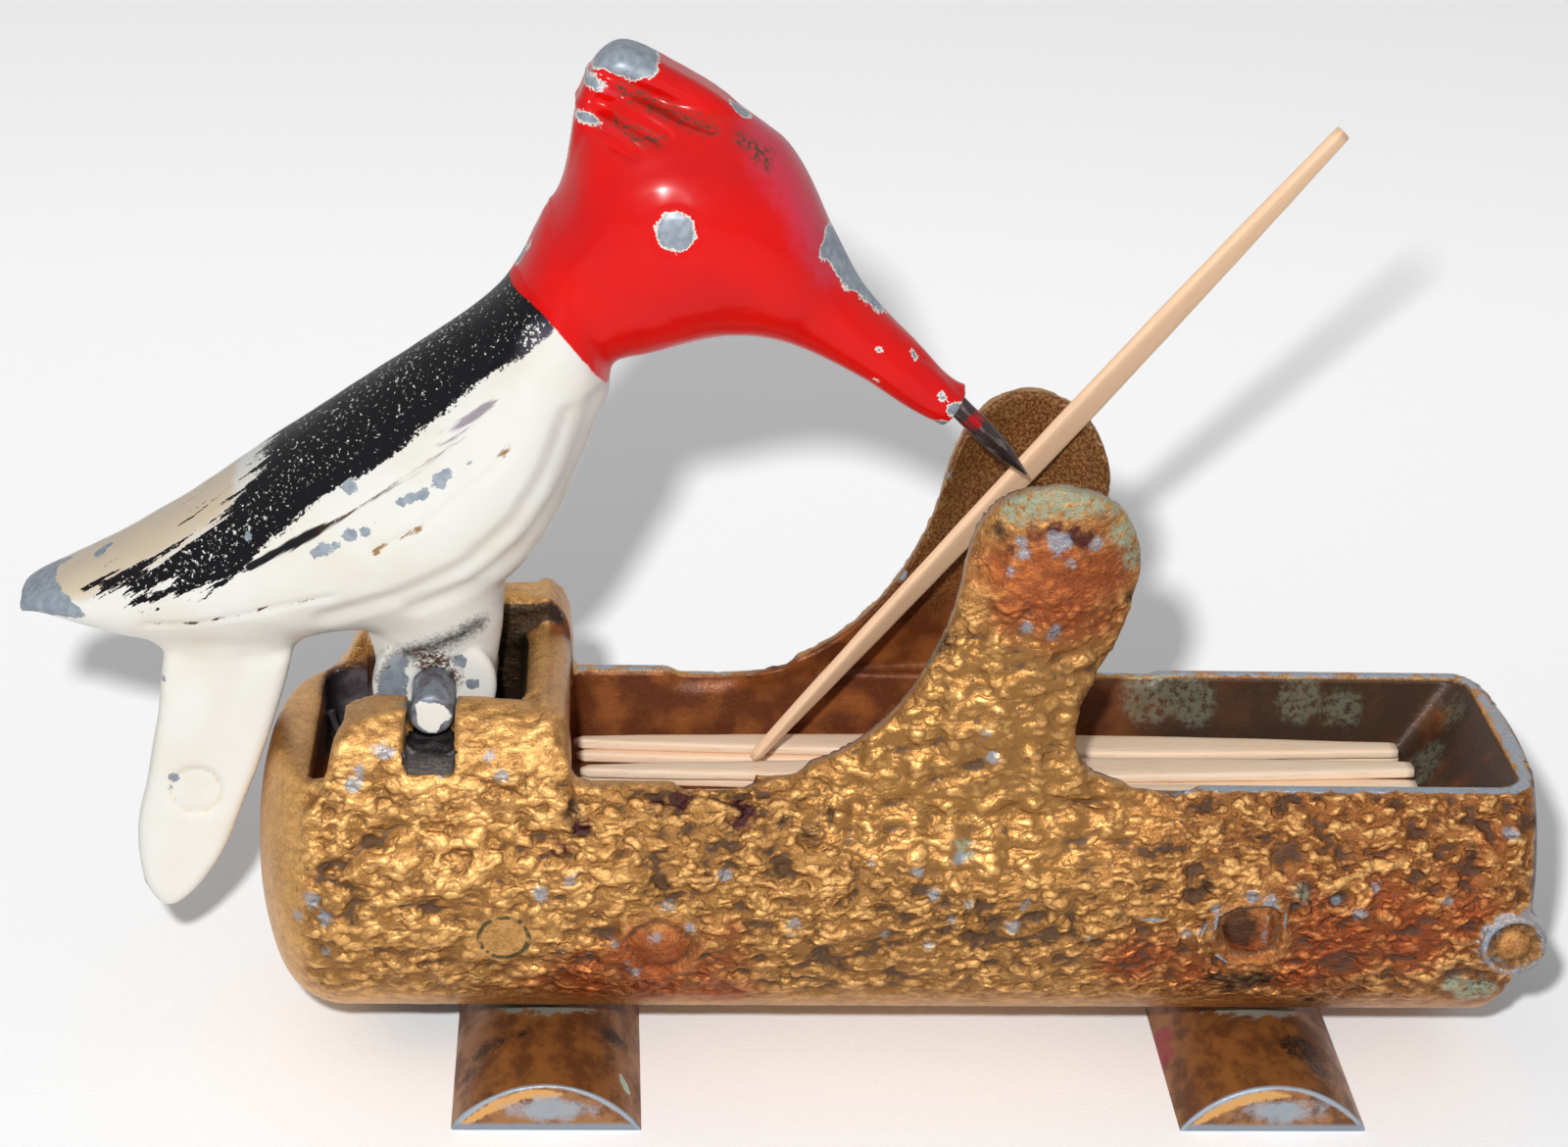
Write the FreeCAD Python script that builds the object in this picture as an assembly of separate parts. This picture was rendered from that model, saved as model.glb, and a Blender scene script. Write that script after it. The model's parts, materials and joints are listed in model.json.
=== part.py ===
import FreeCAD, Part
import math
import os

from FreeCAD import Matrix, Placement, Rotation, Vector

# Woodpecker toothpick dispenser. Millimetres, +Z up, +X along the log towards the far end of
# the trough, -Y the side that faces a guest. The origin is under the middle of the whole
# object, on the surface that its two feet stand on.

# ---- flat toothpicks, which set the length of the trough --------------------------------
PICK_LENGTH = 60.8
PICK_WIDTH = 2.9
PICK_THICKNESS = 0.8
PICK_GAP = 0.02            # air between two layers of loose toothpicks
PRESENTED_FOOT = Vector(-2.35, 0.8, 21.1)
PRESENTED_TOP = Vector(37.72, 10.5, 65.4)
PRESENTED_TWIST = 120.0    # about its own length, from lying flat

# ---- log trough casting ---------------------------------------------------------------
LOG_RADIUS = 12.75         # bark surface of the log
LOG_BOTTOM_Z = 3.2
LOG_AXIS_Z = LOG_BOTTOM_Z + LOG_RADIUS
RIM_Z = LOG_AXIS_Z + 8.35  # flat rim that is left where the log is cut open
TROUGH_DEPTH = 5.4
TROUGH_FLOOR_Z = RIM_Z - TROUGH_DEPTH
TROUGH_LEFT_X = -15.5      # right face of the partition
PICK_END_ROOM = 1.5        # what the floor is longer than a toothpick
TROUGH_RIGHT_X = TROUGH_LEFT_X + PICK_LENGTH + PICK_END_ROOM
TROUGH_RIM_RIGHT_X = TROUGH_RIGHT_X + 4.5
LOG_RIGHT_X = TROUGH_RIM_RIGHT_X + 1.7
RIM_HALF_WIDTH = 8.5       # of the trough's mouth; the walls lean in towards the floor
FLOOR_HALF_WIDTH = 7.4

# ---- bird's pivot, cheeks and partition ------------------------------------------------
PIVOT_X = -24.9
PIVOT_Z = 28.25
PIN_RADIUS = 1.5
PIN_HALF_LENGTH = 7.0
PIN_CLEARANCE = 0.06       # radial running clearance of the pin in its two saddles
SLOT_CLEARANCE = 0.16      # each side of the pin, in the open slots above the saddles
SADDLE_OUTER_Y = 7.15      # where each saddle ends and its lower ledge starts
LEDGE_DROP = 1.05
CHEEK_INNER_Y = 5.4
CHEEK_LEFT_X = -30.1
BAY_LEFT_X = -33.1         # inner face of the end wall under the bird's tail
PARTITION_THICKNESS = 3.4
PARTITION_TOP_Z = 29.3
HUB_RADIUS = 4.3
HUB_HALF_WIDTH = 2.65

# ---- branch stubs ----------------------------------------------------------------------
STUB_WALL = 1.25
STUB_CHANNEL_HALF_WIDTH = 4.6

# ---- feet ------------------------------------------------------------------------------
FOOT_WIDTH = 13.4
FOOT_HEIGHT = 3.65
FOOT_LENGTH = 30.0
LEFT_FOOT_X = -16.8
RIGHT_FOOT_X = LOG_RIGHT_X - 18.4
SPIGOT_RADIUS = 2.0
SPIGOT_TOP_Z = 9.0
SOCKET_END_GAP = 0.2

# ---- beak needle -----------------------------------------------------------------------
NEEDLE_RADIUS = 0.75
NEEDLE_EXIT = Vector(10.9, 0, 48.7)
NEEDLE_TIP = Vector(15.85, 0, 43.85)
NEEDLE_EMBEDDED = 5.0
NEEDLE_POINT_LENGTH = 2.4
NEEDLE_TIP_RADIUS = 0.1

# ---- return spring ---------------------------------------------------------------------
WIRE_RADIUS = 0.3
BEND_RADIUS = 0.34         # ball at each bend, a little thicker than the wire
COIL_RADIUS = 2.1
COIL_PITCH = 0.75
COIL_TURNS = 2.25
COIL_STEPS = 27            # straight runs that the coil is bent from
COIL_START_Y = 3.1
HOOK_RADIUS = 3.3          # distance of the hook hole from the pin's axis
HOOK_HOLE_RADIUS = 0.36
HOOK_DEPTH = 1.5
LEG_BEND_X, LEG_BEND_Z = -32.0, 20.1
LEG_END_X, LEG_END_Z = -32.75, 22.6

# ---- cast marks ------------------------------------------------------------------------
EYE_X, EYE_Z = -8.9, 62.8
EYE_RADIUS = 1.5
MARK_DEPTH = 0.15


def flat_outline(points, closing):
    """Face in the XZ plane: a spline through points, closed by straight lines."""
    curve = Part.BSplineCurve()
    curve.interpolate([Vector(x, 0, z) for x, z in points])
    corners = [points[-1]] + closing + [points[0]]
    lines = [
        Part.makeLine(Vector(a[0], 0, a[1]), Vector(b[0], 0, b[1]))
        for a, b in zip(corners, corners[1:])
    ]
    return Part.Face(Part.Wire([curve.toShape()] + lines))


def plate(face, y_from, y_to):
    """Solid between two Y planes, with the XZ face as its profile."""
    moved = face.translated(Vector(0, y_from, 0))
    return moved.extrude(Vector(0, y_to - y_from, 0))


def box(x_from, x_to, y_from, y_to, z_from, z_to):
    size = (x_to - x_from, y_to - y_from, z_to - z_from)
    return Part.makeBox(*size, Vector(x_from, y_from, z_from))


def oval(centre, first, second):
    """Closed ring about centre, with first and second as its two half axes."""
    steps = 16
    points = []
    for step in range(steps):
        turn = 2 * math.pi * step / steps
        points.append(centre + first * math.cos(turn) + second * math.sin(turn))
    ring = Part.BSplineCurve()
    ring.interpolate(Points=points, PeriodicFlag=True)
    return Part.Wire(ring.toShape())


def body_ring(top, bottom, half_width):
    """Upright ring through top and bottom, both (X, Z), half_width to each side in Y."""
    high = Vector(top[0], 0, top[1])
    low = Vector(bottom[0], 0, bottom[1])
    return oval((high + low) * 0.5, (high - low) * 0.5, Vector(0, half_width, 0))


def level_ring(x, z, half_x, half_y):
    return oval(Vector(x, 0, z), Vector(half_x, 0, 0), Vector(0, half_y, 0))


def rounded_rectangle(x_from, x_to, half_width, z, radius):
    sheet = Part.makePlane(
        x_to - x_from, 2 * half_width, Vector(x_from, -half_width, z)
    )
    block = sheet.extrude(Vector(0, 0, 1))
    upright = [e for e in block.Edges if abs(e.tangentAt(e.FirstParameter).z) > 0.9]
    block = block.makeFillet(radius, upright)
    lowest = min(block.Faces, key=lambda f: f.CenterOfMass.z)
    return lowest.OuterWire


def on_bark(x, z, side):
    """Placement on the log's surface, local Z outward. side is -1 in front, 1 at the back."""
    rise = z - LOG_AXIS_Z
    depth = side * math.sqrt(LOG_RADIUS**2 - rise**2)
    outward = Vector(0, depth, rise)
    return Placement(Vector(x, depth, z), Rotation(Vector(0, 0, 1), outward))


def lens(radius_x, radius_y, height):
    """Flattened ball about the origin."""
    ball = Part.makeSphere(1.0)
    stretch = Matrix()
    stretch.scale(radius_x, radius_y, height)
    return ball.transformGeometry(stretch)


# ---------------------------------------------------------------------------------------
# Log: a turned blank, cut open along the top
# ---------------------------------------------------------------------------------------


def log_blank():
    end_left = [
        (-37.4, LOG_AXIS_Z),
        (-37.1, LOG_AXIS_Z + 0.35 * LOG_RADIUS),
        (-36.1, LOG_AXIS_Z + 0.67 * LOG_RADIUS),
        (-34.9, LOG_AXIS_Z + 0.855 * LOG_RADIUS),
        (-33.3, LOG_AXIS_Z + LOG_RADIUS - 0.55),
        (-31.2, LOG_AXIS_Z + LOG_RADIUS),
    ]
    end_right = [
        (LOG_RIGHT_X - 2.7, LOG_AXIS_Z + LOG_RADIUS),
        (LOG_RIGHT_X - 1.2, LOG_AXIS_Z + LOG_RADIUS - 0.95),
        (LOG_RIGHT_X - 0.5, LOG_AXIS_Z + 0.75 * LOG_RADIUS),
        (LOG_RIGHT_X - 0.1, LOG_AXIS_Z + 0.43 * LOG_RADIUS),
        (LOG_RIGHT_X, LOG_AXIS_Z),
    ]
    curves = []
    for end in (end_left, end_right):
        curve = Part.BSplineCurve()
        curve.interpolate([Vector(x, 0, z) for x, z in end])
        curves.append(curve.toShape())
    top = Part.makeLine(
        Vector(end_left[-1][0], 0, end_left[-1][1]),
        Vector(end_right[0][0], 0, end_right[0][1]),
    )
    axis = Part.makeLine(
        Vector(end_right[-1][0], 0, LOG_AXIS_Z), Vector(end_left[0][0], 0, LOG_AXIS_Z)
    )
    profile = Part.Face(Part.Wire([curves[0], top, curves[1], axis]))
    blank = profile.revolve(Vector(0, 0, LOG_AXIS_Z), Vector(1, 0, 0), 360)
    return blank.cut(box(-60, 60, -20, 20, RIM_Z, 60))


def trough_space():
    floor = rounded_rectangle(
        TROUGH_LEFT_X, TROUGH_RIGHT_X, FLOOR_HALF_WIDTH, TROUGH_FLOOR_Z, 1.0
    )
    rim = rounded_rectangle(
        TROUGH_LEFT_X, TROUGH_RIM_RIGHT_X, RIM_HALF_WIDTH, RIM_Z + 0.1, 2.0
    )
    return Part.makeLoft([floor, rim], True, True)


def cheek(long_profile, cross_profile, side):
    """Burl-like cheek: its long outline and its cross outline cut each other."""
    along = plate(flat_outline(long_profile, [(-15.3, 20.0), (-33.5, 20.0)]), 0, side * 13)
    curve = Part.BSplineCurve()
    curve.interpolate([Vector(0, side * y, z) for y, z in cross_profile])
    inner = cross_profile[-1]
    outer = cross_profile[0]
    corners = [
        Vector(0, side * inner[0], inner[1]),
        Vector(0, side * inner[0], outer[1]),
        Vector(0, side * outer[0], outer[1]),
    ]
    lines = [Part.makeLine(a, b) for a, b in zip(corners, corners[1:])]
    across = Part.Face(Part.Wire([curve.toShape()] + lines))
    across = across.translated(Vector(-36, 0, 0)).extrude(Vector(24, 0, 0))
    return along.common(across)


def front_cheek():
    long_profile = [
        (-33.5, 22.6), (-32.0, 24.4), (-31.0, 26.3), (-29.7, 28.4), (-27.4, 29.7),
        (-22.2, 30.1), (-18.0, 29.8), (-16.2, 28.6), (-15.4, 26.2), (-15.3, 23.0),
    ]
    cross_profile = [
        (11.5, 20.0), (11.3, 23.0), (10.9, 25.8), (10.0, 28.0),
        (8.6, 29.5), (7.0, 30.1), (CHEEK_INNER_Y, 29.5),
    ]
    return cheek(long_profile, cross_profile, -1)


def back_cheek():
    long_profile = [
        (-33.5, 22.6), (-32.0, 24.6), (-30.6, 27.4), (-28.6, 30.1), (-25.4, 31.7),
        (-21.4, 32.1), (-18.2, 31.9), (-16.3, 30.6), (-15.4, 28.0), (-15.3, 23.0),
    ]
    cross_profile = [
        (11.5, 20.0), (11.3, 23.0), (10.9, 26.5), (10.1, 29.8),
        (8.8, 31.8), (7.4, 32.2), (CHEEK_INNER_Y, 31.4),
    ]
    return cheek(long_profile, cross_profile, 1)


def partition():
    left = TROUGH_LEFT_X - PARTITION_THICKNESS
    wall = box(left, TROUGH_LEFT_X, -8, 8, TROUGH_FLOOR_Z - 1, PARTITION_TOP_Z)
    top_edges = [
        e for e in wall.Edges
        if abs(e.CenterOfMass.z - PARTITION_TOP_Z) < 0.01 and abs(e.CenterOfMass.y) < 0.01
    ]
    return wall.makeFillet(0.45 * PARTITION_THICKNESS, top_edges)


def bay_space():
    """Space for the bird's hub and spring: wide by the end wall, narrow between the cheeks."""
    wide = box(BAY_LEFT_X, CHEEK_LEFT_X, -8.4, 8.4, TROUGH_FLOOR_Z, 40)
    upright = [e for e in wide.Edges if abs(e.tangentAt(e.FirstParameter).z) > 0.9]
    wide = wide.makeFillet(0.8, upright)
    right = TROUGH_LEFT_X - PARTITION_THICKNESS
    narrow = box(
        CHEEK_LEFT_X - 1, right, -CHEEK_INNER_Y, CHEEK_INNER_Y, TROUGH_FLOOR_Z, 40
    )
    return wide.fuse(narrow)


def pivot_space():
    """Two saddles for the pin, the open slots above them and the lower ledges outside."""
    saddle_radius = PIN_RADIUS + PIN_CLEARANCE
    slot_half = PIN_RADIUS + SLOT_CLEARANCE
    ledge_z = PIVOT_Z - PIN_RADIUS - LEDGE_DROP
    saddle = Part.makeCylinder(
        saddle_radius, 2 * SADDLE_OUTER_Y,
        Vector(PIVOT_X, -SADDLE_OUTER_Y, PIVOT_Z), Vector(0, 1, 0),
    )
    left, right = PIVOT_X - slot_half, PIVOT_X + slot_half
    slot = box(left, right, -14, 14, PIVOT_Z, 40)
    space = saddle.fuse(slot)
    for side in (-1, 1):
        near, far = sorted((side * SADDLE_OUTER_Y, side * 14))
        space = space.fuse(box(left, right, near, far, ledge_z, 40))
    return space


# ---------------------------------------------------------------------------------------
# Branch stubs: two halves of a hollow, leaning branch with a channel for the beak
# ---------------------------------------------------------------------------------------


def leaning_branch(wall):
    """Branch as a solid whose surface lies wall inside the outer bark."""
    levels = [
        (22.0, 12.5, 30.0, 10.9),
        (30.0, 13.8, 15.5, 10.4),
        (38.0, 16.2, 10.6, 9.95),
        (48.0, 17.4, 8.6, 9.6),
    ]
    rings = [level_ring(x, z, half_x - wall, half_y - wall) for z, x, half_x, half_y in levels]
    return Part.makeLoft(rings, True, False)


def stub_halves():
    outline = [
        (-7.0, 23.6), (-4.6, 24.2), (-0.6, 25.0), (3.6, 27.0), (6.8, 30.0), (9.2, 34.0),
        (10.7, 38.2), (11.5, 42.2), (13.4, 45.4), (16.9, 46.7), (20.3, 45.5), (22.3, 42.2),
        (22.5, 38.2), (21.6, 33.6), (20.2, 29.4), (20.2, 26.4), (22.6, 24.7), (27.0, 23.8),
    ]
    arch = plate(flat_outline(outline, [(27.0, 21.0), (-7.0, 21.0)]), -13, 13)
    shell = leaning_branch(0).cut(leaning_branch(STUB_WALL))
    channel = box(-20, 40, -STUB_CHANNEL_HALF_WIDTH, STUB_CHANNEL_HALF_WIDTH, 18, 60)
    return arch.common(shell).cut(channel)


# ---------------------------------------------------------------------------------------
# Marks cast into the bark, the same on both sides
# ---------------------------------------------------------------------------------------


def almond_knot(side):
    knot = lens(3.6, 2.5, 0.55)
    knot.Placement = on_bark(-8.7, 13.4, side)
    return knot


def ring_knot(side):
    ring = Part.makeTorus(2.5, 0.6)
    knot = ring.fuse(lens(1.5, 1.5, 0.5))
    knot.Placement = on_bark(RIGHT_FOOT_X - 3.4, 14.3, side)
    return knot


def cut_twig(side):
    """Sawn-off twig near the end: a rim, a groove and a domed heart."""
    rim = Part.makeCylinder(2.35, 2.6)
    rim = rim.makeFillet(0.3, [e for e in rim.Edges if e.CenterOfMass.z > 2.5])
    groove = Part.makeCylinder(1.85, 1.0, Vector(0, 0, 1.9))
    heart = lens(1.35, 1.35, 0.75)
    heart.translate(Vector(0, 0, 1.9))
    twig = rim.cut(groove).fuse(heart)
    root = Vector(LOG_RIGHT_X - 2.4, side * (LOG_RADIUS - 2.05), 14.1)
    twig.Placement = Placement(root, Rotation(Vector(0, 0, 1), Vector(0, side, 0)))
    return twig


def ejector_mark():
    """Shallow round recess that an ejector pin left in the front."""
    mark = Part.makeCylinder(2.0, 2.0, Vector(0, 0, -MARK_DEPTH))
    mark.Placement = on_bark(-19.8, 14.0, -1)
    return mark


def spigot_socket(foot_x):
    return Part.makeCylinder(SPIGOT_RADIUS, SPIGOT_TOP_Z + SOCKET_END_GAP, Vector(foot_x, 0, 0))


def log_casting():
    log = log_blank()
    additions = [front_cheek(), back_cheek(), stub_halves()]
    for side in (-1, 1):
        additions += [almond_knot(side), ring_knot(side), cut_twig(side)]
    for addition in additions:
        log = log.fuse(addition)
    log = log.cut(trough_space()).cut(bay_space())
    log = log.fuse(partition().common(box(-30, 0, -8, 8, 0, 60)))
    log = log.cut(pivot_space()).cut(ejector_mark())
    for foot_x in (LEFT_FOOT_X, RIGHT_FOOT_X):
        log = log.cut(spigot_socket(foot_x))
    return log.removeSplitter()


# ---------------------------------------------------------------------------------------
# Feet: split logs laid across, each held by a spigot in a socket
# ---------------------------------------------------------------------------------------


def foot(centre_x):
    half = FOOT_WIDTH / 2
    left = Vector(centre_x - half, -FOOT_LENGTH / 2, 0)
    right = Vector(centre_x + half, -FOOT_LENGTH / 2, 0)
    crown = Vector(centre_x, -FOOT_LENGTH / 2, FOOT_HEIGHT)
    arc = Part.Arc(left, crown, right).toShape()
    profile = Part.Face(Part.Wire([arc, Part.makeLine(right, left)]))
    split_log = profile.extrude(Vector(0, FOOT_LENGTH, 0))
    seat = Part.makeCylinder(LOG_RADIUS, 60, Vector(centre_x - 30, 0, LOG_AXIS_Z), Vector(1, 0, 0))
    spigot = Part.makeCylinder(SPIGOT_RADIUS, SPIGOT_TOP_Z - 1.0, Vector(centre_x, 0, 1.0))
    return split_log.cut(seat).fuse(spigot)


# ---------------------------------------------------------------------------------------
# Bird
# ---------------------------------------------------------------------------------------


def bird_trunk():
    """Tail, back, breast and neck: upper point, lower point and half width of each ring."""
    stations = [
        ((-53.2, 34.5), (-53.0, 33.2), 2.5),
        ((-49.0, 36.9), (-48.8, 32.3), 4.2),
        ((-44.9, 39.2), (-45.0, 31.2), 5.2),
        ((-41.0, 41.8), (-41.2, 30.8), 6.0),
        ((-37.0, 44.7), (-36.4, 31.0), 6.8),
        ((-32.5, 47.9), (-30.8, 32.0), 7.3),
        ((-28.1, 51.0), (-24.8, 33.2), 7.6),
        ((-24.3, 53.7), (-20.1, 35.8), 7.6),
        ((-21.8, 55.6), (-17.2, 39.4), 7.3),
        ((-20.0, 57.6), (-15.4, 43.1), 6.9),
        ((-18.8, 59.8), (-14.0, 46.8), 6.4),
        ((-17.6, 62.6), (-12.6, 50.0), 6.1),
    ]
    return Part.makeLoft([body_ring(*station) for station in stations], True, False)


def bird_head():
    """Nape, skull and beak, down to the blunt end that holds the needle."""
    stations = [
        ((-17.4, 63.4), (-16.2, 55.6), 4.0),
        ((-15.2, 68.4), (-13.6, 52.4), 5.8),
        ((-12.0, 71.2), (-10.9, 52.3), 6.6),
        ((-8.2, 70.6), (-8.1, 53.4), 6.9),
        ((-4.2, 69.3), (-4.9, 54.0), 6.4),
        ((-0.7, 66.1), (-1.7, 53.6), 5.2),
        ((1.7, 61.4), (0.8, 52.6), 3.6),
        ((4.0, 57.4), (2.9, 51.6), 2.8),
        ((6.8, 54.3), (5.3, 50.1), 2.2),
        ((9.4, 51.8), (7.8, 48.5), 1.9),
        ((11.3, 50.3), (9.7, 47.5), 1.65),
    ]
    return Part.makeLoft([body_ring(*station) for station in stations], True, False)


def crest():
    outline = [
        (-18.0, 61.0), (-16.3, 65.0), (-15.6, 69.0), (-14.5, 72.2),
        (-12.9, 73.6), (-10.4, 72.9), (-6.9, 71.1), (-3.5, 68.5),
    ]
    fin = plate(flat_outline(outline, [(-9.0, 60.0)]), -2.3, 2.3)
    rim = [e for e in fin.Edges if abs(abs(e.CenterOfMass.y) - 2.3) < 0.01 and e.Length > 15]
    return fin.makeFillet(1.3, rim)


def tail_prop():
    outline = [
        (-43.4, 32.5), (-44.0, 26.6), (-45.1, 20.5), (-45.8, 14.6), (-44.0, 10.8),
        (-41.0, 13.3), (-38.5, 18.6), (-36.45, 24.2), (-34.6, 31.0),
    ]
    prop = plate(flat_outline(outline, [(-37.0, 36.0)]), -3.2, 3.2)
    rim = [e for e in prop.Edges if abs(abs(e.CenterOfMass.y) - 3.2) < 0.01 and e.Length > 20]
    prop = prop.makeFillet(0.8, rim)
    mark = Part.makeCylinder(1.75, 2, Vector(-41.6, -3.2 + MARK_DEPTH, 20.3), Vector(0, -1, 0))
    return prop.cut(mark)


def leg():
    hub = Part.makeCylinder(
        HUB_RADIUS, 2 * HUB_HALF_WIDTH, Vector(PIVOT_X, -HUB_HALF_WIDTH, PIVOT_Z),
        Vector(0, 1, 0),
    )
    hub = hub.makeFillet(0.5, [e for e in hub.Edges if abs(e.CenterOfMass.y) > HUB_HALF_WIDTH - 0.01])
    rings = [
        level_ring(PIVOT_X, PIVOT_Z - 0.5, HUB_RADIUS - 0.1, HUB_HALF_WIDTH - 0.05),
        level_ring(PIVOT_X, 30.8, 4.5, 2.9),
        level_ring(-25.2, 33.6, 5.1, 4.3),
        level_ring(-26.2, 37.5, 5.8, 5.6),
    ]
    return hub.fuse(Part.makeLoft(rings, True, False))


def eyes():
    """Flat cast disc on each side of the head."""
    return Part.makeCylinder(EYE_RADIUS, 13.4, Vector(EYE_X, -6.7, EYE_Z), Vector(0, 1, 0))


def needle_direction():
    return (NEEDLE_TIP - NEEDLE_EXIT).normalize()


def bird_casting():
    bird = bird_trunk()
    for addition in (bird_head(), crest(), tail_prop(), leg(), eyes()):
        bird = bird.fuse(addition)
    pin_bore = Part.makeCylinder(
        PIN_RADIUS, 30, Vector(PIVOT_X, -15, PIVOT_Z), Vector(0, 1, 0)
    )
    needle_start = NEEDLE_EXIT - needle_direction() * NEEDLE_EMBEDDED
    needle_bore = Part.makeCylinder(
        NEEDLE_RADIUS, NEEDLE_EMBEDDED + 3, needle_start, needle_direction()
    )
    hook_hole = Part.makeCylinder(
        HOOK_HOLE_RADIUS, HOOK_DEPTH + 1,
        Vector(PIVOT_X + HOOK_RADIUS, HUB_HALF_WIDTH - HOOK_DEPTH, PIVOT_Z), Vector(0, 1, 0),
    )
    return bird.cut(pin_bore).cut(needle_bore).cut(hook_hole).removeSplitter()


def beak_needle():
    length = (NEEDLE_TIP - NEEDLE_EXIT).Length
    start = NEEDLE_EXIT - needle_direction() * NEEDLE_EMBEDDED
    shank_length = NEEDLE_EMBEDDED + length - NEEDLE_POINT_LENGTH
    shank = Part.makeCylinder(NEEDLE_RADIUS, shank_length, start, needle_direction())
    point = Part.makeCone(
        NEEDLE_RADIUS, NEEDLE_TIP_RADIUS, NEEDLE_POINT_LENGTH,
        start + needle_direction() * shank_length, needle_direction(),
    )
    return shank.fuse(point).removeSplitter()


def pivot_pin():
    pin = Part.makeCylinder(
        PIN_RADIUS, 2 * PIN_HALF_LENGTH, Vector(PIVOT_X, -PIN_HALF_LENGTH, PIVOT_Z),
        Vector(0, 1, 0),
    )
    return pin.makeFillet(0.3, [e for e in pin.Edges if abs(e.CenterOfMass.y) > PIN_HALF_LENGTH - 0.01])


# ---------------------------------------------------------------------------------------
# Return spring: a coil round the pin, hooked in the hub, its long leg against the end wall
# ---------------------------------------------------------------------------------------


def wire_along(points):
    """Round wire through straight runs, with a ball at each bend."""
    shape = Part.makeSphere(BEND_RADIUS, points[0])
    for start, end in zip(points, points[1:]):
        run = end - start
        shape = shape.fuse(Part.makeCylinder(WIRE_RADIUS, run.Length, start, run))
        shape = shape.fuse(Part.makeSphere(BEND_RADIUS, end))
    return shape


def coil_point(step):
    """From the hub's side, level with the pin, to the end wall's side, under the pin."""
    turned = COIL_TURNS * step / COIL_STEPS
    angle = 2 * math.pi * turned
    return Vector(
        PIVOT_X + COIL_RADIUS * math.cos(angle),
        COIL_START_Y + COIL_PITCH * turned,
        PIVOT_Z - COIL_RADIUS * math.sin(angle),
    )


def return_spring():
    coil = [coil_point(step) for step in range(COIL_STEPS + 1)]
    leg_y = coil[-1].y
    hook_bend = Vector(PIVOT_X + HOOK_RADIUS, COIL_START_Y, PIVOT_Z)
    hook_end = Vector(hook_bend.x, HUB_HALF_WIDTH - HOOK_DEPTH + 0.4, PIVOT_Z)
    leg_bend = Vector(LEG_BEND_X, leg_y, LEG_BEND_Z)
    leg_end = Vector(LEG_END_X, leg_y, LEG_END_Z)
    return wire_along([hook_end, hook_bend] + coil + [leg_bend, leg_end])


# ---------------------------------------------------------------------------------------
# Flat toothpicks, all alike: pointed at one end, blunt at the other
# ---------------------------------------------------------------------------------------


def flat_pick():
    """Toothpick lying along +X from the origin, its underside on Z = 0."""
    half = PICK_WIDTH / 2
    edge = [
        (0.0, 0.25 * half), (6.0, 0.52 * half), (20.0, 0.86 * half), (35.0, half),
        (49.0, 0.86 * half), (PICK_LENGTH, 0.62 * half),
    ]
    sides = []
    for side in (1, -1):
        curve = Part.BSplineCurve()
        curve.interpolate([Vector(x, side * y, 0) for x, y in edge])
        sides.append(curve)
    near_end = Part.makeLine(sides[1].StartPoint, sides[0].StartPoint)
    far_end = Part.makeLine(sides[0].EndPoint, sides[1].EndPoint)
    outline = Part.Wire([sides[0].toShape(), far_end, sides[1].toShape(), near_end])
    return Part.Face(outline).extrude(Vector(0, 0, PICK_THICKNESS))


def loose_pick(tip_gap, tip_y, blunt_y, layer):
    """tip_gap is left between the tip and the partition."""
    turn = math.degrees(math.asin((blunt_y - tip_y) / PICK_LENGTH))
    z = TROUGH_FLOOR_Z + layer * (PICK_THICKNESS + PICK_GAP)
    return flat_pick().transformed(
        Placement(Vector(TROUGH_LEFT_X + tip_gap, tip_y, z), Rotation(turn, 0, 0)).toMatrix()
    )


def presented_pick():
    """Stands on the loose ones, leans back over the rear stub and is drawn out along itself."""
    along = (PRESENTED_TOP - PRESENTED_FOOT).normalize()
    level = Vector(0, 0, 1).cross(along).normalize()
    facing = along.cross(level)
    twist = Rotation(along, PRESENTED_TWIST)
    face_side = twist.multVec(level)
    face_out = twist.multVec(facing)
    turn = Rotation(along, face_side, face_out, "XYZ")
    centred = flat_pick()
    centred.translate(Vector(0, 0, -PICK_THICKNESS / 2))
    return centred.transformed(Placement(PRESENTED_FOOT, turn).toMatrix())


def write(name, shape):
    solid = shape.Solids[0] if len(shape.Solids) == 1 else shape
    solid.exportStep(os.path.join("parts", name + ".step"))
    size = solid.BoundBox
    print(
        name, "solids", len(shape.Solids), "valid", shape.isValid(),
        "volume", round(shape.Volume, 1),
        "X", round(size.XMin, 2), round(size.XMax, 2),
        "Y", round(size.YMin, 2), round(size.YMax, 2),
        "Z", round(size.ZMin, 2), round(size.ZMax, 2),
    )


os.makedirs("parts", exist_ok=True)
write("log_casting", log_casting())
write("left_foot", foot(LEFT_FOOT_X))
write("right_foot", foot(RIGHT_FOOT_X))
write("bird_casting", bird_casting())
write("beak_needle", beak_needle())
write("pivot_pin", pivot_pin())
write("return_spring", return_spring())
write("presented_toothpick", presented_pick())
write("toothpick_1", loose_pick(0.3, 5.1, 4.9, 1))
write("toothpick_2", loose_pick(0.8, 0.6, 1.9, 1))
write("toothpick_3", loose_pick(0.6, -3.6, -2.2, 1))
write("toothpick_4", loose_pick(0.5, 4.6, 5.4, 0))
write("toothpick_5", loose_pick(0.9, 1.4, 0.6, 0))
write("toothpick_6", loose_pick(0.4, -2.9, -4.3, 0))
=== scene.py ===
# %% [markdown]
# # Woodpecker toothpick dispenser
# A cast woodpecker tips on a pin over a log trough and lifts a flat toothpick with its needle.
# The CAD solids already have the right sizes, places and joints. Here each of them gets the
# skin that the real casting has: bark, feather lines, worn paint, bare zinc and wood grain.
# The frame is loaded first, because every piece is worked out from it and rides on it.

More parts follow.
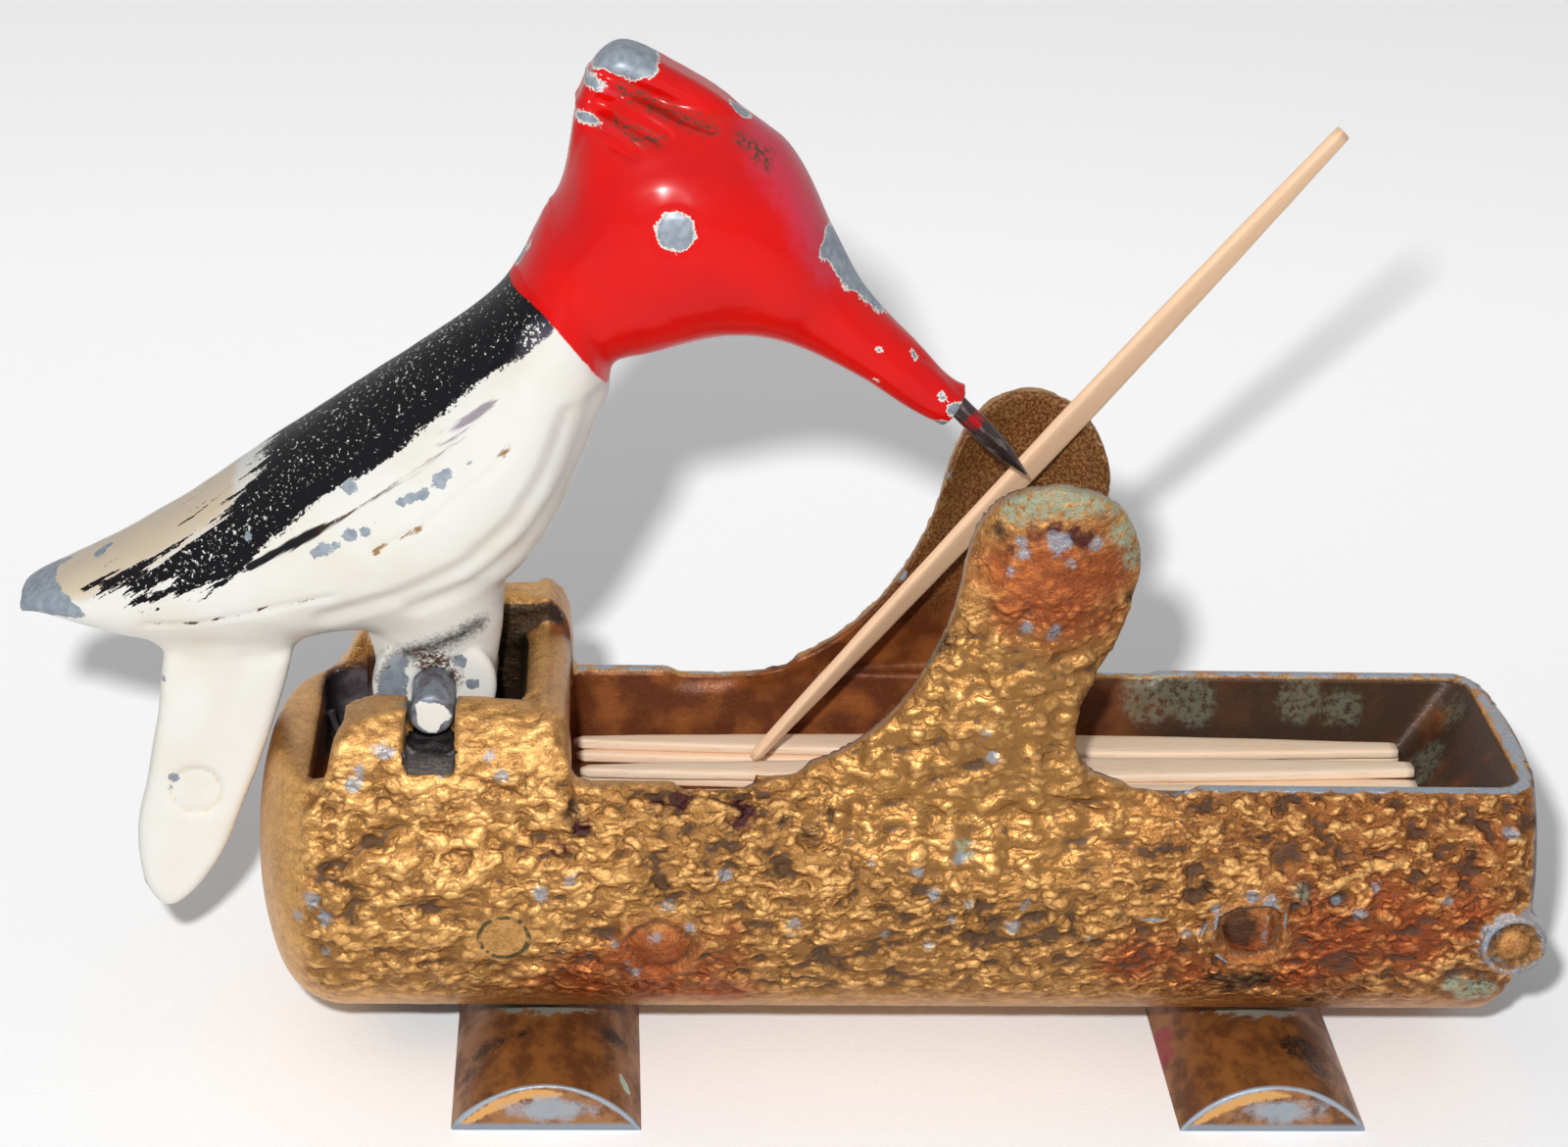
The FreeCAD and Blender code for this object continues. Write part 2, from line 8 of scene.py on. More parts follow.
# %% Load the frame
import json
import math

import bmesh
import bpy
import numpy as np
from mathutils import Matrix, Vector


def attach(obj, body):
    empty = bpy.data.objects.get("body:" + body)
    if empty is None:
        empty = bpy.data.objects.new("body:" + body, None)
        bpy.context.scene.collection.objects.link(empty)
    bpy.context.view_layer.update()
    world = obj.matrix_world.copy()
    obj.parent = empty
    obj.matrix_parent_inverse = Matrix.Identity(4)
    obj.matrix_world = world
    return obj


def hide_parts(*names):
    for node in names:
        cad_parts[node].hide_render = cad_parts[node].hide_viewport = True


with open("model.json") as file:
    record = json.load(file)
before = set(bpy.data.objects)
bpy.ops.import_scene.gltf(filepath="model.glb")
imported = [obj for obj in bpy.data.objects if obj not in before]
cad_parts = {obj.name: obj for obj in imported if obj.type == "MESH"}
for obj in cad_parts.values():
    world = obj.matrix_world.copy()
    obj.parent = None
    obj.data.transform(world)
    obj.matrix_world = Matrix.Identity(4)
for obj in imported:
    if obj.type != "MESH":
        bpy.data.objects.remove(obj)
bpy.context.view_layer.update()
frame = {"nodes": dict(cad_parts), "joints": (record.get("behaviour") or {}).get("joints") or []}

MM = 0.001
nodes = frame["nodes"]

# %% [markdown]
# ## Tools for points
# Blender's meshes are in metres, but a casting this small is easier to think about in
# millimetres. These helpers read a mesh as rows of millimetres and write it back, blend softly
# between two values, and measure how far each point is from a line drawn on the bird's side.

# %% Read and write points
def read_rows(items, name, width=3, kind=float):
    flat = np.empty(len(items) * width, kind)
    items.foreach_get(name, flat)
    return flat.reshape(-1, width)


def read_points(mesh):
    return read_rows(mesh.vertices, "co") / MM


def read_normals(mesh):
    return read_rows(mesh.vertices, "normal")


def write_points(mesh, points):
    mesh.vertices.foreach_set("co", (points * MM).astype(np.float32).ravel())
    mesh.update()


def store(mesh, name, values):
    """Keeps one number per point under a name that materials can read."""
    attribute = mesh.attributes.new(name, "FLOAT", "POINT")
    attribute.data.foreach_set("value", np.asarray(values, np.float32))


def store_all(mesh, numbers):
    for name, values in numbers.items():
        store(mesh, name, values)


# %% Soft steps and distances
def soft_step(values, low, high):
    part = np.clip((values - low) / (high - low), 0, 1)
    return part * part * (3 - 2 * part)


def distance_to_line(flat_points, line):
    """Distance in mm from each (x, z) to a line through several points."""
    nearest = np.full(len(flat_points), 1e9)
    for start, end in zip(line, line[1:]):
        start, end = np.array(start), np.array(end)
        run = end - start
        along = np.clip((flat_points - start) @ run / (run @ run), 0, 1)
        gap = np.linalg.norm(flat_points - start - along[:, None] * run, axis=1)
        nearest = np.minimum(nearest, gap)
    return nearest


def inside_outline(flat_points, outline):
    """Distance in mm to a closed outline, positive inside it and negative outside."""
    closed = list(outline) + [outline[0]]
    x, z = flat_points[:, 0], flat_points[:, 1]
    within = np.zeros(len(flat_points), bool)
    for (x1, z1), (x2, z2) in zip(closed, closed[1:]):
        crosses = (z1 > z) != (z2 > z)
        at = x1 + (z - z1) * (x2 - x1) / (z2 - z1 + 1e-12)
        within ^= crosses & (x < at)
    return np.where(within, 1, -1) * distance_to_line(flat_points, closed)


FAR_OUT = -9.0  # mm, for points that no edge is near


def spots_distance(points, spots):
    """Distance in mm to the edge of the nearest round spot, positive inside it."""
    nearest = np.full(len(points), FAR_OUT)
    for *centre, radius in spots:
        nearest = np.maximum(nearest, radius - np.linalg.norm(points - centre, axis=1))
    return nearest


# %% Repeatable noise
def lump_noise(points, seed):
    """Smooth random value from -1 to 1 at each point, one lump per unit of length."""
    cell = np.floor(points).astype(np.int64)
    part = points - cell
    part = part * part * (3 - 2 * part)
    total = np.zeros(len(points))
    for corner in range(8):
        step = np.array([corner & 1, corner >> 1 & 1, corner >> 2 & 1])
        key = (cell + step) @ np.array([73856093, 19349663, 83492791]) + seed * 7919
        key = (key ^ (key >> 13)) * 1274126177 & 0xFFFFFFFF
        value = ((key ^ (key >> 16)) & 0xFFFF) / 32767.5 - 1
        total += value * np.prod(np.where(step == 1, part, 1 - part), axis=1)
    return total


# %% [markdown]
# ## Recasting a CAD solid
# A CAD mesh has long thin triangles, which can't take small relief. A voxel remesh gives an even
# skin of small square faces, and a shrinkwrap puts that skin back on the exact CAD surface.
# Sharp arrises come out slightly rounded, which is what die-cast zinc under thick paint does.

# %% Recast helper
MERGE_MM = 0.002


def add_object(name, data):
    made = bpy.data.objects.new(name, data)
    bpy.context.scene.collection.objects.link(made)
    return made


def shade_smooth(mesh):
    mesh.polygons.foreach_set("use_smooth", [True] * len(mesh.polygons))


def settle(piece):
    """Works a piece's modifiers into its mesh."""
    graph = bpy.context.evaluated_depsgraph_get()
    mesh = bpy.data.meshes.new_from_object(piece.evaluated_get(graph))
    piece.modifiers.clear()
    piece.data = mesh
    shade_smooth(mesh)


def recast(node_name, piece_name, grain_mm):
    """Copy of a CAD node with an even skin of small square faces."""
    mesh = nodes[node_name].data.copy()
    form = bmesh.new()
    form.from_mesh(mesh)
    bmesh.ops.remove_doubles(form, verts=form.verts, dist=MERGE_MM * MM)
    form.to_mesh(mesh)
    form.free()
    mesh.materials.clear()
    piece = add_object(piece_name, mesh)
    skin = piece.modifiers.new("even skin", "REMESH")
    skin.mode = "VOXEL"
    skin.voxel_size = grain_mm * MM
    wrap = piece.modifiers.new("on the CAD surface", "SHRINKWRAP")
    wrap.target = nodes[node_name]
    wrap.wrap_method = "NEAREST_SURFACEPOINT"
    settle(piece)
    print(piece_name, "has", len(piece.data.polygons), "faces")
    return piece


# %% Find the worn edges
def spread(mesh, values, rounds):
    """Averages a value over neighbouring points, as many times as asked."""
    pairs = read_rows(mesh.edges, "vertices", 2, np.int64)
    count = np.bincount(pairs.ravel(), minlength=len(values))
    for _ in range(rounds):
        total = np.bincount(pairs[:, 0], values[pairs[:, 1]], len(values))
        total += np.bincount(pairs[:, 1], values[pairs[:, 0]], len(values))
        values = 0.5 * values + 0.5 * total / count
    return values


def spread_points(mesh, points, rounds):
    return np.stack([spread(mesh, points[:, axis], rounds) for axis in range(3)], axis=1)


def outward_corners(mesh, rounds=3):
    """How far each point stands out of its neighbours: high on arrises, low in corners."""
    points = read_points(mesh)
    stands_out = points - spread_points(mesh, points, rounds)
    return np.einsum("ij,ij->i", stands_out, read_normals(mesh))


# %% Melt the seams
MELT_CORE = 0.35  # share of the reach that is melted in full


def melt(piece, seams, rounds):
    """Rounds off the places where two forms meet, as a file and thick paint do."""
    points = read_points(piece.data)
    amount = np.zeros(len(points))
    for line, reach in seams:
        gap = distance_to_line(points[:, [0, 2]], line)
        amount = np.maximum(amount, 1 - soft_step(gap, MELT_CORE * reach, reach))
    soft = spread_points(piece.data, points, rounds)
    write_points(piece.data, points + (soft - points) * amount[:, None])


# %% Build a Geometry Nodes tree
def geometry_tree(name, inputs):
    """Tree with named inputs. Returns it with the sockets that carry them."""
    tree = bpy.data.node_groups.new(name, "GeometryNodeTree")
    for label, kind in {"Geometry": "Geometry", **inputs}.items():
        tree.interface.new_socket(label, in_out="INPUT", socket_type="NodeSocket" + kind)
    tree.interface.new_socket("Geometry", in_out="OUTPUT", socket_type="NodeSocketGeometry")
    return tree, node(tree, "NodeGroupInput").outputs


def end_tree(tree, geometry):
    """Ends a tree with real geometry and one material."""
    whole = node(tree, "GeometryNodeRealizeInstances", {0: geometry}).outputs[0]
    painted = node(tree, "GeometryNodeSetMaterial", {"Geometry": whole}).outputs[0]
    node(tree, "NodeGroupOutput", {0: painted})
    return tree


# %% Use a Geometry Nodes tree on a piece
def set_inputs(modifier, values):
    """Sets a modifier's inputs by their names, through the identifiers that Blender gives."""
    for item in modifier.node_group.interface.items_tree:
        if item.item_type == "SOCKET" and item.in_out == "INPUT" and item.name in values:
            modifier[item.identifier] = values[item.name]


def grow(piece, tree, material, values):
    for part in tree.nodes:
        if part.bl_idname == "GeometryNodeSetMaterial":
            part.inputs["Material"].default_value = material
    modifier = piece.modifiers.new(tree.name, "NODES")
    modifier.node_group = tree
    set_inputs(modifier, values)
    settle(piece)
    dress(piece, material)
    return piece


def dress(piece, material):
    piece.data.materials.clear()
    piece.data.materials.append(material)


def place_on(piece, body, replaced):
    """Tells the frame which body carries the piece and which CAD nodes it stands for."""
    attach(piece, body)
    for name in replaced:
        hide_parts(name)
    print(piece.name, "rides", body, "with", len(piece.data.polygons), "faces")


# %% [markdown]
# ## Tools for materials
# Every finish is a small tree of shader nodes. The helper `node` adds one node, sets it up and
# links what is given to it, so that a material reads like a recipe. The short helpers after it
# are the steps that each recipe uses: sums, mixes, stored numbers and noise.

# %% Node helpers
def fill(tree, made, inputs):
    """Links or sets a node's inputs."""
    for name, value in inputs.items():
        if isinstance(value, bpy.types.NodeSocket):
            tree.links.new(value, made.inputs[name])
        else:
            made.inputs[name].default_value = value


def node(tree, kind, inputs=None, **settings):
    made = tree.nodes.new(kind)
    for name, value in settings.items():
        setattr(made, name, value)
    fill(tree, made, inputs or {})
    return made


def stored(tree, name):
    return node(tree, "ShaderNodeAttribute", attribute_name=name).outputs["Fac"]


# %% Sums
def maths(tree, operation, first, second=0.0, clamp=False):
    inputs = {0: first, 1: second}
    return node(tree, "ShaderNodeMath", inputs, operation=operation, use_clamp=clamp).outputs[0]


def plus(tree, first, second):
    return maths(tree, "ADD", first, second)


def minus(tree, first, second, clamp=False):
    return maths(tree, "SUBTRACT", first, second, clamp)


def times(tree, first, second, clamp=False):
    return maths(tree, "MULTIPLY", first, second, clamp)


def most(tree, *values):
    largest = values[0]
    for value in values[1:]:
        largest = maths(tree, "MAXIMUM", largest, value)
    return largest


def about(tree, value, middle, gain):
    """How far a value lies from a middle, times a gain."""
    return times(tree, minus(tree, value, middle), gain)


def add_shares(tree, total, *shares):
    """Adds values to a total, each one times its share."""
    for value, share in shares:
        total = plus(tree, total, times(tree, value, share))
    return total


def vectors(tree, operation, first, second):
    inputs = {0: first, 1: second}
    return node(tree, "ShaderNodeVectorMath", inputs, operation=operation).outputs[0]


def scaled(tree, vector, factor):
    inputs = {0: vector, "Scale": factor}
    return node(tree, "ShaderNodeVectorMath", inputs, operation="SCALE").outputs[0]


# %% Ranges and mixes
def between(tree, value, low, high, low_out=0.0, high_out=1.0):
    inputs = {
        "Value": value, "From Min": low, "From Max": high, "To Min": low_out, "To Max": high_out,
    }
    return node(tree, "ShaderNodeMapRange", inputs, interpolation_type="SMOOTHSTEP").outputs[0]


def mix(tree, amount, first, second):
    """Colour first where amount is 0, colour second where it is 1."""
    inputs = {0: amount, 6: first, 7: second}
    return node(tree, "ShaderNodeMix", inputs, data_type="RGBA").outputs[2]


def paint(tree, colour, mask, strength, top):
    """Lays a colour on top where the mask is, never denser than its strength."""
    return mix(tree, times(tree, mask, strength), colour, top)


def blend_numbers(tree, amount, first, second):
    inputs = {0: amount, 2: first, 3: second}
    return node(tree, "ShaderNodeMix", inputs, data_type="FLOAT").outputs[0]


# %% Places and noise
def own_place(tree):
    return node(tree, "ShaderNodeTexCoord").outputs["Object"]


def own_mm(tree, axis):
    """The piece's own coordinate along one axis, in mm."""
    split = node(tree, "ShaderNodeSeparateXYZ", {0: own_place(tree)}).outputs[axis]
    return maths(tree, "DIVIDE", split, MM)


def noise(tree, place, scale, detail, roughness, distortion=0.0, output="Fac"):
    inputs = {
        "Vector": place, "Scale": scale, "Detail": detail,
        "Roughness": roughness, "Distortion": distortion,
    }
    return node(tree, "ShaderNodeTexNoise", inputs).outputs[output]


def noise_at(tree, place, size, detail, output="Fac"):
    """Noise on a place in mm, with lumps of the given size in mm."""
    return noise(tree, vectors(tree, "DIVIDE", place, size), 1.0, detail, 0.6, output=output)


def grain(tree, per_mm, detail, roughness=0.5, distortion=0.0, stretch=None):
    """Noise on the piece's own coordinates, with so many lumps to the millimetre."""
    place = own_place(tree)
    if stretch:
        place = node(tree, "ShaderNodeMapping", {"Vector": place, "Scale": stretch}).outputs[0]
    return noise(tree, place, per_mm / MM, detail, roughness, distortion)


def feather_grain(tree, per_mm, turn_degrees, ratio):
    """Noise in the side view whose lumps are drawn out along a direction."""
    turn = (0, -math.radians(turn_degrees), 0)
    inputs = {"Vector": own_place(tree), "Rotation": turn, "Scale": (ratio, 1, 1)}
    turned = node(tree, "ShaderNodeMapping", inputs, vector_type="TEXTURE").outputs[0]
    return noise(tree, turned, per_mm / MM, 3.0, 0.65)


def cell_gap(tree, place, scale, randomness=1.0):
    """Squared distance from the middle of the nearest cell."""
    inputs = {"Vector": place, "Scale": scale, "Smoothness": 0.25, "Randomness": randomness}
    gap = node(tree, "ShaderNodeTexVoronoi", inputs, feature="SMOOTH_F1").outputs["Distance"]
    return times(tree, gap, gap)


def bump(tree, height, strength, depth_mm):
    inputs = {"Height": height, "Strength": strength, "Distance": depth_mm * MM}
    return node(tree, "ShaderNodeBump", inputs).outputs[0]


# %% Start a material
def new_material(name):
    material = bpy.data.materials.new(name)
    material.use_nodes = True
    tree = material.node_tree
    return material, tree, tree.nodes["Principled BSDF"]


# %% [markdown]
# ## A ragged paint edge
# Paint on an old casting never ends in a clean line. The stored number is a smooth distance to
# the edge in millimetres, and this group shifts it with two sizes of noise before it is cut, so
# the edge is ragged at a finer scale than the mesh. Several finishes use it, so it is a group.

# %% Ragged edge group
def ragged_edge_group():
    group = bpy.data.node_groups.new("ragged edge", "ShaderNodeTree")
    for name in ("Distance", "Raggedness", "Softness"):
        group.interface.new_socket(name, in_out="INPUT", socket_type="NodeSocketFloat")
    group.interface.new_socket("Mask", in_out="OUTPUT", socket_type="NodeSocketFloat")
    given = node(group, "NodeGroupInput").outputs
    coarse = minus(group, grain(group, 1.1, 3.0, 0.6), 0.5)
    wander = plus(group, coarse, about(group, grain(group, 5.0, 3.0, 0.6), 0.5, 0.5))
    shift = times(group, wander, given["Raggedness"])
    shifted = add_shares(group, given["Distance"], (shift, 3.0))
    low = times(group, given["Softness"], -1.0)
    mask = between(group, shifted, low, given["Softness"])
    node(group, "NodeGroupOutput", {"Mask": mask})
    return group


RAGGED_EDGE = ragged_edge_group()


def ragged(tree, distance, raggedness, softness):
    inputs = {"Distance": distance, "Raggedness": raggedness, "Softness": softness}
    return node(tree, "ShaderNodeGroup", inputs, node_tree=RAGGED_EDGE).outputs["Mask"]


# %% Worn arris
def worn_arris(tree, limit, patches_per_mm, middle, reach, gain):
    """Distance inside the bare metal of an outward corner, which comes in patches."""
    patchy = about(tree, grain(tree, patches_per_mm, 3.0), middle, reach)
    return times(tree, plus(tree, minus(tree, stored(tree, "arris"), limit), patchy), gain)


# %% [markdown]
# ## The bird's casting
# The CAD bird has the right body, head, crest, prop and leg. The real one also has shallow
# feather lines, soft folds along the belly, three flutes in the crest and a rim round the eye.
# First the seams between its forms are melted together. Then the lines, drawn on the side view,
# are pressed into the recast skin along its normals.

# %% Seams, feather lines and folds, as (x, z) in mm
BIRD_SEAMS = [
    ([(-20.0, 60.0), (-16.0, 56.0), (-12.5, 50.0)], 5.5),
    ([(-16.5, 62.0), (-14.0, 67.0), (-9.0, 68.6), (-4.0, 67.6)], 2.3),
    ([(-43.5, 32.5), (-35.0, 32.5)], 2.6),
    ([(-32.0, 34.0), (-22.0, 35.0)], 3.0),
]
FEATHER_LINES = [
    [(-21.2, 51.1), (-24.4, 47.6), (-27.7, 45.0), (-30.6, 43.0), (-33.9, 41.0), (-36.9, 39.1)],
    [(-31.5, 37.0), (-33.4, 36.6), (-36.7, 35.6), (-40.8, 34.3), (-44.2, 33.8)],
]
OCHRE_LINE = [(-19.6, 48.2), (-20.6, 46.8), (-22.2, 45.4), (-24.0, 43.9), (-25.7, 42.4), (-28.6, 40.6)]
BELLY_FOLDS = [
    [(-15.6, 50.0), (-17.0, 46.2), (-19.0, 42.7), (-22.2, 39.5), (-26.2, 37.2), (-32.0, 34.9)],
    [(-13.9, 50.5), (-14.8, 47.6), (-16.2, 43.6), (-18.6, 40.3), (-22.0, 37.4), (-26.0, 35.6)],
]
CREST_FLUTES = [
    [(-13.6, 72.0), (-10.3, 70.7), (-8.4, 69.8), (-6.6, 69.2)],
    [(-14.2, 70.4), (-13.5, 70.1), (-11.9, 69.5), (-10.0, 68.6)],
    [(-14.3, 68.5), (-12.0, 67.8)],
]
CREST_RIDGES = [
    [(-14.6, 71.6), (-11.6, 70.3), (-9.2, 69.1)],
    [(-15.4, 69.9), (-13.1, 69.0), (-11.8, 68.3)],
]
BEAK_GROOVE = [(7.6, 53.1), (9.2, 51.9), (10.9, 50.2)]
PROP_RIDGE = [(-39.6, 30.5), (-41.2, 25.0), (-43.4, 18.0), (-44.6, 13.0)]
EYE = (-9.0, 63.1)
EYE_RADIUS = 1.22
PROP_MARK = (-41.6, 20.3)
PROP_MARK_RADIUS = 1.75
HEAD_BOTTOM_Z = 55.0

BIRD_GRAIN_MM = 0.27
BIRD_MELT_ROUNDS = 110

bird = recast("bird_casting", "bird", BIRD_GRAIN_MM)
melt(bird, BIRD_SEAMS, BIRD_MELT_ROUNDS)
bird_points = read_points(bird.data)
bird_normals = read_normals(bird.data)
bird_side = bird_points[:, [0, 2]]
on_head = bird_points[:, 2] > HEAD_BOTTOM_Z
on_front = bird_points[:, 1] < 0


# %% Press the lines into the skin, as (lines, height, half width) in mm
def trench(side_view, line, half_width):
    """1 on a line, falling smoothly to 0 at half_width from it."""
    return 1 - soft_step(distance_to_line(side_view, line), 0, half_width)


def circle_line(side_view, centre, radius, half_width):
    gap = np.abs(np.linalg.norm(side_view - centre, axis=1) - radius)
    return 1 - soft_step(gap, 0, half_width)


PRESSES = [
    (FEATHER_LINES + [OCHRE_LINE], -0.12, 0.5),
    (BELLY_FOLDS, -0.30, 1.3),
    (CREST_FLUTES, -0.45, 0.75),
    (CREST_RIDGES, 0.16, 0.6),
    ([BEAK_GROOVE], -0.16, 0.4),
    ([PROP_RIDGE], 0.22, 2.0),
]
press = 0.05 * lump_noise(bird_points / 2.6, 4) + 0.02 * lump_noise(bird_points / 1.1, 5)
for lines, height, half_width in PRESSES:
    for line in lines:
        press += height * trench(bird_side, line, half_width)
press -= 0.15 * circle_line(bird_side, EYE, EYE_RADIUS + 0.2, 0.3) * on_head
press -= 0.22 * circle_line(bird_side, PROP_MARK, PROP_MARK_RADIUS, 0.35) * on_front
write_points(bird.data, bird_points + bird_normals * press[:, None])
print("deepest press in mm:", round(float(press.min()), 2))

# %% [markdown]
# ## Where each enamel lies
# The maker sprayed the whole bird cream, then the wings and back black and the head red. Each
# border is stored as a distance in mm, so that the material can cut it as sharp or as fuzzy as
# it likes. Chips are stored the same way: distance inside a set of small round patches.

# %% Borders of the enamels, as (x, z) in mm
HEAD_BORDER = [
    (-20.6, 58.0), (-19.5, 57.7), (-18.4, 57.4), (-17.4, 56.8), (-16.1, 55.4),
    (-14.6, 53.4), (-13.1, 50.9), (-12.4, 49.4),
]
WING_OUTLINE = [
    (-21.5, 60.5), (-17.0, 57.2), (-16.8, 55.6), (-18.4, 54.2), (-20.9, 52.7), (-22.9, 51.0),
    (-25.4, 48.8), (-27.7, 46.8), (-29.7, 45.5), (-31.9, 44.1), (-33.3, 42.8), (-35.2, 41.0),
    (-36.8, 39.4), (-38.6, 38.0), (-41.3, 36.5), (-44.0, 35.5), (-45.9, 34.9), (-45.4, 35.8),
    (-42.6, 37.2), (-45.4, 36.4), (-48.4, 36.0), (-46.4, 36.9), (-43.4, 38.7), (-40.6, 40.9),
    (-37.6, 43.6), (-34.6, 47.4), (-29.0, 52.0), (-24.0, 56.0),
]
TAIL_WEDGE = [(-51.5, 35.6), (-47.0, 37.9), (-43.0, 40.4), (-39.6, 43.0)]
CHIPS = [
    (-24.2, -7.4, 45.8, 0.52), (-23.7, -7.4, 46.3, 0.42), (-26.7, -7.4, 44.3, 0.36),
    (-26.1, -7.4, 44.5, 0.42), (-25.3, -7.5, 44.8, 0.45), (-29.2, -7.4, 42.1, 0.36),
    (-30.1, -7.3, 41.8, 0.50), (-31.9, -7.2, 40.7, 0.50), (-32.5, -7.2, 40.4, 0.36),
    (-31.1, -7.3, 41.0, 0.28), (-30.2, -6.4, 44.9, 0.52), (-37.0, -6.0, 41.0, 0.28),
    (-22.3, -7.4, 47.1, 0.14), (-28.4, -7.4, 42.8, 0.12), (-31.5, -5.5, 46.9, 0.12),
    (-47.6, -1.0, 37.5, 0.50), (-47.3, -0.6, 38.0, 0.40), (-50.4, 0.6, 36.2, 0.55),
    (-19.2, 0.0, 59.2, 0.70), (-18.9, -1.0, 60.2, 0.45),
    (-4.6, -0.5, 69.8, 0.85), (-27.6, -2.7, 28.9, 0.95), (-27.9, -2.7, 27.7, 1.05),
    (-27.3, -2.7, 30.1, 0.75), (-23.1, -2.7, 30.3, 0.50), (-22.2, -2.7, 28.6, 0.45),
    (-44.9, -3.2, 18.2, 0.20), (-43.1, -3.1, 21.3, 0.30), (-43.3, -3.1, 20.6, 0.24),
    (-45.4, -2.6, 12.9, 0.36), (-43.6, -3.0, 28.9, 0.26), (-20.3, -2.6, 34.4, 0.50),
    (7.5, -1.3, 53.0, 0.26), (5.0, -2.4, 53.7, 0.12), (5.0, -1.8, 51.3, 0.15),
    (9.5, -1.8, 50.2, 0.20), (10.3, -1.7, 49.3, 0.45), (9.6, -1.0, 47.8, 0.55),
    (-30.5, 7.3, 43.1, 0.60), (-24.6, 7.4, 48.2, 0.50), (-35.0, 6.6, 38.4, 0.40),
    (-9.0, 6.6, 66.9, 0.50), (3.0, 2.2, 58.2, 0.60), (-27.0, 2.7, 28.0, 0.7),
]
BARE_PATCHES = [
    [
        (-14.6, 72.4), (-14.2, 74.4), (-10.6, 74.0), (-10.2, 72.9), (-10.7, 72.1), (-11.8, 71.8),
        (-13.6, 72.5),
    ],
    [(-15.2, 71.5), (-14.4, 71.9), (-13.6, 71.3), (-14.2, 71.1)],
    [(-15.9, 69.5), (-14.5, 69.6), (-13.9, 69.1), (-15.2, 69.0)],
    [
        (0.5, 60.7), (1.2, 61.9), (2.4, 61.4), (6.6, 55.8), (4.9, 56.0), (3.7, 57.3), (2.4, 58.3),
        (1.4, 59.9),
    ],
    [
        (-54.0, 32.8), (-54.0, 36.0), (-51.6, 36.4), (-50.0, 35.7), (-48.5, 34.7), (-48.3, 34.1),
        (-50.3, 33.9),
    ],
]
RUB_LINES = [
    [(-12.6, 71.2), (-10.8, 70.5), (-9.4, 70.0)], [(-8.8, 69.8), (-6.6, 69.2)],
    [(-13.0, 69.6), (-11.6, 68.8), (-10.2, 68.6)], [(-4.9, 68.3), (-3.8, 67.6), (-3.0, 67.0)],
]
RUB_HALF_WIDTH = 0.42
WEDGE_HALF_WIDTH = 1.5
FOREHEAD_SHEEN_HALF_WIDTH = 2.0
SMUDGE_HALF_WIDTH = 0.9
# Line along the top of the head where a sheen is painted on the red.
FOREHEAD_SHEEN_LINE = [(-2.6, 68.4), (-0.6, 65.9), (0.9, 62.9), (2.2, 60.6)]
SMUDGE = [(-28.4, 29.0), (-27.4, 30.6), (-25.4, 31.6), (-23.4, 32.6), (-21.9, 33.4)]
HUB_DIRT = [(-24.9, -2.7, 30.2, 1.3), (-23.9, -2.7, 29.2, 0.9), (-25.6, -2.7, 31.0, 0.7)]
WING_FADE = [(-16.9, -6.0, 54.6, 2.6), (-19.0, -6.3, 53.2, 1.3), (-16.9, 6.0, 54.6, 2.6)]

BACK_TOP_Z = 60
BACK_RIGHT_X = -18
WORN_TAIL = (31.0, 45.0)
FAR_HEAD = [(-12.0, 40.0), (30.0, 40.0), (30.0, 80.0), (-30.0, 80.0)]

# %% Store the borders
chip_distance = spots_distance(bird_points, CHIPS)
for outline in BARE_PATCHES:
    chip_distance = np.maximum(chip_distance, inside_outline(bird_side, outline))
eye_distance = EYE_RADIUS - np.linalg.norm(bird_side - EYE, axis=1)
chip_distance = np.maximum(chip_distance, np.where(on_head, eye_distance, FAR_OUT))
rub_gap = np.min([distance_to_line(bird_side, line) for line in RUB_LINES], axis=0)
on_back = (bird_points[:, 2] < BACK_TOP_Z) & (bird_points[:, 0] < BACK_RIGHT_X)
bird_numbers = {
    "head": inside_outline(bird_side, HEAD_BORDER + FAR_HEAD),
    "wing": inside_outline(bird_side, WING_OUTLINE),
    "chip": chip_distance,
    "first_line": distance_to_line(bird_side, FEATHER_LINES[0]),
    "third_line": distance_to_line(bird_side, FEATHER_LINES[1]),
    "ochre_line": distance_to_line(bird_side, OCHRE_LINE),
    "wedge": WEDGE_HALF_WIDTH - distance_to_line(bird_side, TAIL_WEDGE),
    "worn": soft_step(-bird_points[:, 0], *WORN_TAIL),
    "fade": np.maximum(spots_distance(bird_points, WING_FADE), 0),
    "back_ridge": soft_step(bird_normals[:, 2], 0.75, 0.97) * on_back,
    "rub": RUB_HALF_WIDTH - rub_gap,
    "forehead_sheen": FOREHEAD_SHEEN_HALF_WIDTH - distance_to_line(bird_side, FOREHEAD_SHEEN_LINE),
    "smudge": SMUDGE_HALF_WIDTH - distance_to_line(bird_side, SMUDGE),
    "hub_dirt": spots_distance(bird_points, HUB_DIRT),
    "arris": outward_corners(bird.data),
}

store_all(bird.data, bird_numbers)

# %% [markdown]
# ## Gloss enamel over zinc
# Cream is the lowest coat, black and red lie over it, and grey metal shows in every chip. Black
# was sprayed thinly: its edge is ragged, pale specks show through it, and near the tail it is
# worn into streaks. A clear coat in the shader gives the wet shine.

